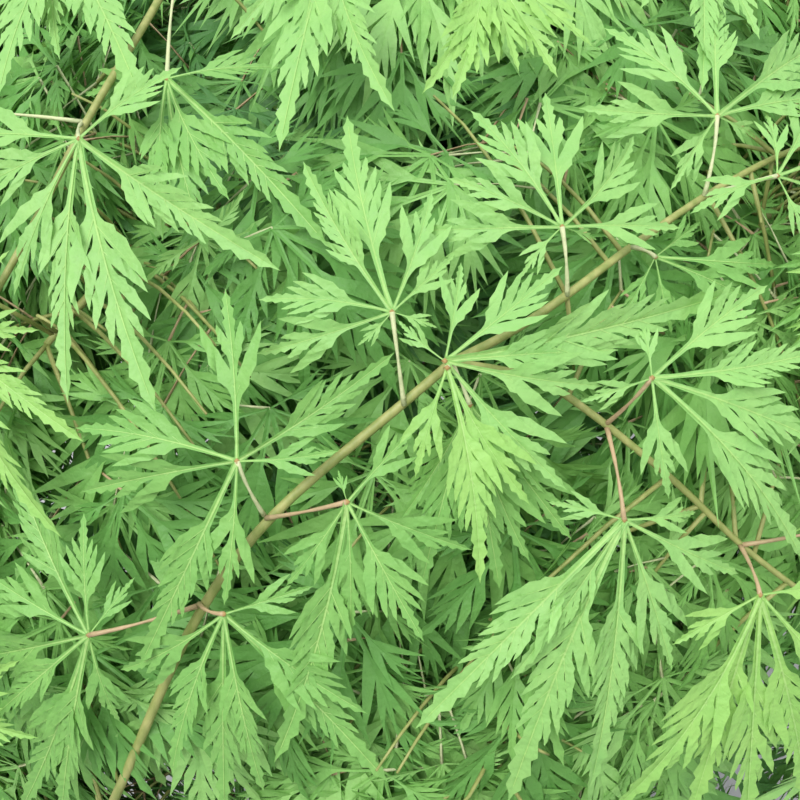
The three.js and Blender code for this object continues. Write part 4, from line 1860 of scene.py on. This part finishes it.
@dataclass
class Planter:
    """The pot, the soil in it and the flakes of bark on the soil.

    A flake is a thin slab with five sides, and its upper face is a little smaller than its lower one.
    """

    FLAKE = ((1, 0, 0), (0.3, 0.6, 0.1), (-0.8, 0.4, 0), (-0.9, -0.4, 0.1), (0.2, -0.6, 0))
    FLAKE_TOP = 0.9
    FLAKE_DEEP = 0.3

    height: float = 0.28
    rim_radius: float = 0.166
    foot_radius: float = 0.116
    wall: float = 0.011
    floor: float = 0.015
    band: float = 0.036
    proud: float = 0.006
    edge: float = 0.0028
    edge_steps: int = 4
    sharp: float = 0.35
    turns: int = 144
    soil_below: float = 0.03
    soil_dip: float = 0.005
    soil_curve: float = 4
    soil_rings: int = 46
    seam: float = 0.0006
    crumb: float = 0.0028
    crumb_spots: float = 70
    crumb_roughness: tuple[float, float, int] = (0.8, 2.0, 4)
    crumb_depth: float = 0.0075
    rim_room: float = 1e-4
    flakes: int = 1300
    flake_seed: int = 11
    flake_sizes: Span = (0.002, 0.0065)
    flake_breadths: Span = (0.5, 1)
    flake_tilt: float = 0.9
    flake_lift: float = 0.0006
    wall_room: float = 0.006
    trunk_room: float = 0.03

    def __post_init__(self) -> None:
        """Works out the level of the soil and how wide it is there."""
        self.soil_top = self.height - self.soil_below
        self.soil_radius = self.radius_at(self.soil_top) - self.wall

    def radius_at(self, height: float) -> float:
        """Returns the pot's outer radius at a height, without its band."""
        return blend(self.foot_radius, self.rim_radius - self.proud, height / self.height)

    def build(self) -> None:
        """Builds the pot, the soil and the flakes."""
        self._build_pot()
        self._build_soil()
        self._scatter_flakes()

    def _build_pot(self) -> None:
        """Turns the pot and eases its edges."""
        band_foot = self.height - self.band
        profile = [
            (0, 0),
            (self.foot_radius, 0),
            (self.radius_at(band_foot - self.proud), band_foot - self.proud),
            (self.rim_radius, band_foot),
            (self.rim_radius, self.height),
            (self.radius_at(self.height) - self.wall, self.height),
            (self.radius_at(self.floor) - self.wall, self.floor),
            (0, self.floor),
        ]
        form = turned(profile, self.turns)
        bmesh.ops.recalc_face_normals(form, faces=form.faces)
        inner = [edge for edge in form.edges if len(edge.link_faces) == 2]
        bmesh.ops.bevel(
            form, geom=[edge for edge in inner if edge.calc_face_angle() > self.sharp], offset=self.edge,
            offset_type="OFFSET", segments=self.edge_steps, profile=0.5, affect="EDGES", material=-1,
            clamp_overlap=True,
        )
        show(moulded("pot_turned", form), ClayFinish().material(), ["pot"])

    def _soil_level(self, share: float) -> float:
        """Returns the height of the soil's even top, which dips to the wall, at a share of its radius."""
        return self.soil_top - self.soil_dip * share**self.soil_curve

    def _lump(self, place: Vector) -> float:
        """Returns how far a crumb of soil stands up at a place."""
        return self.crumb * noise.fractal(place * self.crumb_spots, *self.crumb_roughness)

    def _build_soil(self) -> None:
        """Turns the soil and crumbles its top."""
        bottom = self.floor + self.seam
        inside = self.soil_radius - self.seam
        shares = np.linspace(0, 1, self.soil_rings + 1)
        profile = [(inside * share, self._soil_level(share)) for share in shares]
        profile += [(self.radius_at(bottom) - self.wall - self.seam, bottom), (0, bottom)]
        form = turned(profile, self.turns)
        for corner in form.verts:
            is_top = corner.co.z > self.soil_top - self.crumb_depth
            if is_top and corner.co.xy.length < inside - self.rim_room:
                corner.co.z += self._lump(corner.co)
        show(moulded("soil_bed", form), Ground.SOIL.value.material(), ["soil"])

    def _scatter_flakes(self) -> None:
        """Scatters flat flakes of bark over the soil."""
        numbers = Numbers(self.flake_seed)
        heap = Heap()
        inside = self.soil_radius - self.wall_room
        under = np.array(self.FLAKE)
        corners = np.concatenate([under, under * self.FLAKE_TOP + UP * self.FLAKE_DEEP])
        faces = [(0, 2, 1), (0, 3, 2), (0, 4, 3), (5, 6, 7), (5, 7, 8), (5, 8, 9)]
        for start, end in zip(range(5), (1, 2, 3, 4, 0)):
            faces += [(start, end, end + 5), (start, end + 5, start + 5)]
        for _ in range(self.flakes):
            out = math.sqrt(numbers.draw()) * inside
            turn, spin = numbers.between(0, 2 * math.pi), numbers.between(0, 2 * math.pi)
            size = numbers.between(*self.flake_sizes)
            tilt = numbers.about(self.flake_tilt)
            place = np.array([out * math.cos(turn), out * math.sin(turn), self.soil_top])
            if out < self.trunk_room:
                continue
            place[2] = self._soil_level(out / inside) + self._lump(Vector(place)) + self.flake_lift
            level = np.array([math.cos(spin), math.sin(spin), 0])
            ahead = level * math.cos(tilt) + UP * math.sin(tilt)
            aside = np.cross(UP, level)
            axes = np.stack([ahead, aside * numbers.between(*self.flake_breadths), np.cross(ahead, aside)])
            heap.add(place + corners @ axes * size, np.array(faces))
        show(heap.piece("soil_flakes"), Ground.FLAKE.value.material(), ["soil"])


@dataclass
class Studio:
    """The pale floor, the soft lights and the camera."""

    floor_radius: float = 5
    cove_radius: float = 2.5
    wall_height: float = 4
    floor_steps: int = 96
    cove_steps: int = 12
    floor_colour: Colour = (0.36, 0.36, 0.355)
    floor_roughness: float = 0.9
    sky_colour: Colour = (0.93, 0.97, 1.0)
    sky_strength: float = 1.22
    key_strength: float = 3.1
    key_angle: float = 38
    key_place: Colour = (-0.8, -1.1, 2.6)
    fill_power: float = 12
    fill_place: Colour = (1.9, -1.4, 1.4)
    fill_size: float = 1.8
    lit_height: float = 0.6
    clip_start: float = 0.01

    def build(self, crown: Crown, view: View) -> None:
        """Builds the floor, the lights and the camera.

        Args:
            crown: The dome that the camera looks at.
            view: The camera's place.
        """
        self._lay_floor()
        self._hang_sky()
        key = bpy.data.lights.new("key", "SUN")
        key.energy, key.angle = self.key_strength, math.radians(self.key_angle)
        fill = bpy.data.lights.new("fill", "AREA")
        fill.energy, fill.size = self.fill_power, self.fill_size
        for light, place in ((key, self.key_place), (fill, self.fill_place)):
            self._set_up(light, Vector(place), Vector(UP * self.lit_height) - Vector(place))
        lens = bpy.data.cameras.new("camera")
        lens.lens, lens.sensor_width, lens.clip_start = view.lens, view.sensor, self.clip_start
        camera = self._set_up(lens, Vector(view.eye(crown)), Vector(view.axes()[2]))
        bpy.context.scene.camera = camera

    def _lay_floor(self) -> None:
        """Lays the floor, which turns up into a plain wall far round the plant."""
        profile = [(0, 0)]
        for turn in np.linspace(0, math.pi / 2, self.cove_steps + 1):
            out = self.floor_radius + self.cove_radius * math.sin(turn)
            profile.append((out, self.cove_radius * (1 - math.cos(turn))))
        profile.append((self.floor_radius + self.cove_radius, self.wall_height))
        floor = moulded("floor", turned(profile, self.floor_steps))
        bpy.context.scene.collection.objects.link(floor)
        finish = NodeSheet("floor").dress(Base_Color=self.floor_colour, Roughness=self.floor_roughness)
        floor.data.materials.append(finish)

    def _hang_sky(self) -> None:
        """Fills the room with an even, slightly cool light."""
        world = bpy.data.worlds.new("studio")
        world.use_nodes = True
        background = world.node_tree.nodes["Background"]
        background.inputs["Color"].default_value = (*self.sky_colour, 1)
        background.inputs["Strength"].default_value = self.sky_strength
        bpy.context.scene.world = world
        bpy.context.scene.view_settings.view_transform = "Standard"

    def _set_up(self, data: bpy.types.ID, place: Vector, aim: Vector) -> bpy.types.Object:
        """Sets a light or camera up.

        Args:
            data: The light or camera.
            place: Where it stands.
            aim: The direction that it looks along.

        Returns:
            The object.
        """
        thing = bpy.data.objects.new(data.name, data)
        thing.location = place
        thing.rotation_euler = aim.to_track_quat("-Z", "Y").to_euler()
        bpy.context.scene.collection.objects.link(thing)
        return thing


def main() -> None:
    """Builds every part of the plant and its setting in order."""
    logging.basicConfig(level=logging.INFO, format="%(name)s: %(message)s")
    crown, view = Crown(), View()
    nodes: dict[str, list[str]] = defaultdict(list)
    for mass in crown.masses:
        nodes[mass.tier.name].append(f"foliage_{mass.name}")
    nodes[NearShoots.region] = ["foliage_upper_4", "foliage_upper_5", "foliage_middle_1"]
    leaves, twigs = Leaves(), Twigs()
    Studio().build(crown, view)
    Planter().build()
    Woodwork(crown).build()
    foliage = Foliage(crown, view, leaves, twigs)
    foliage.grow()
    NearShoots(foliage).grow()
    twigs.show(nodes.get)
    leaves.show(nodes.get)


if __name__ == "__main__":
    main()
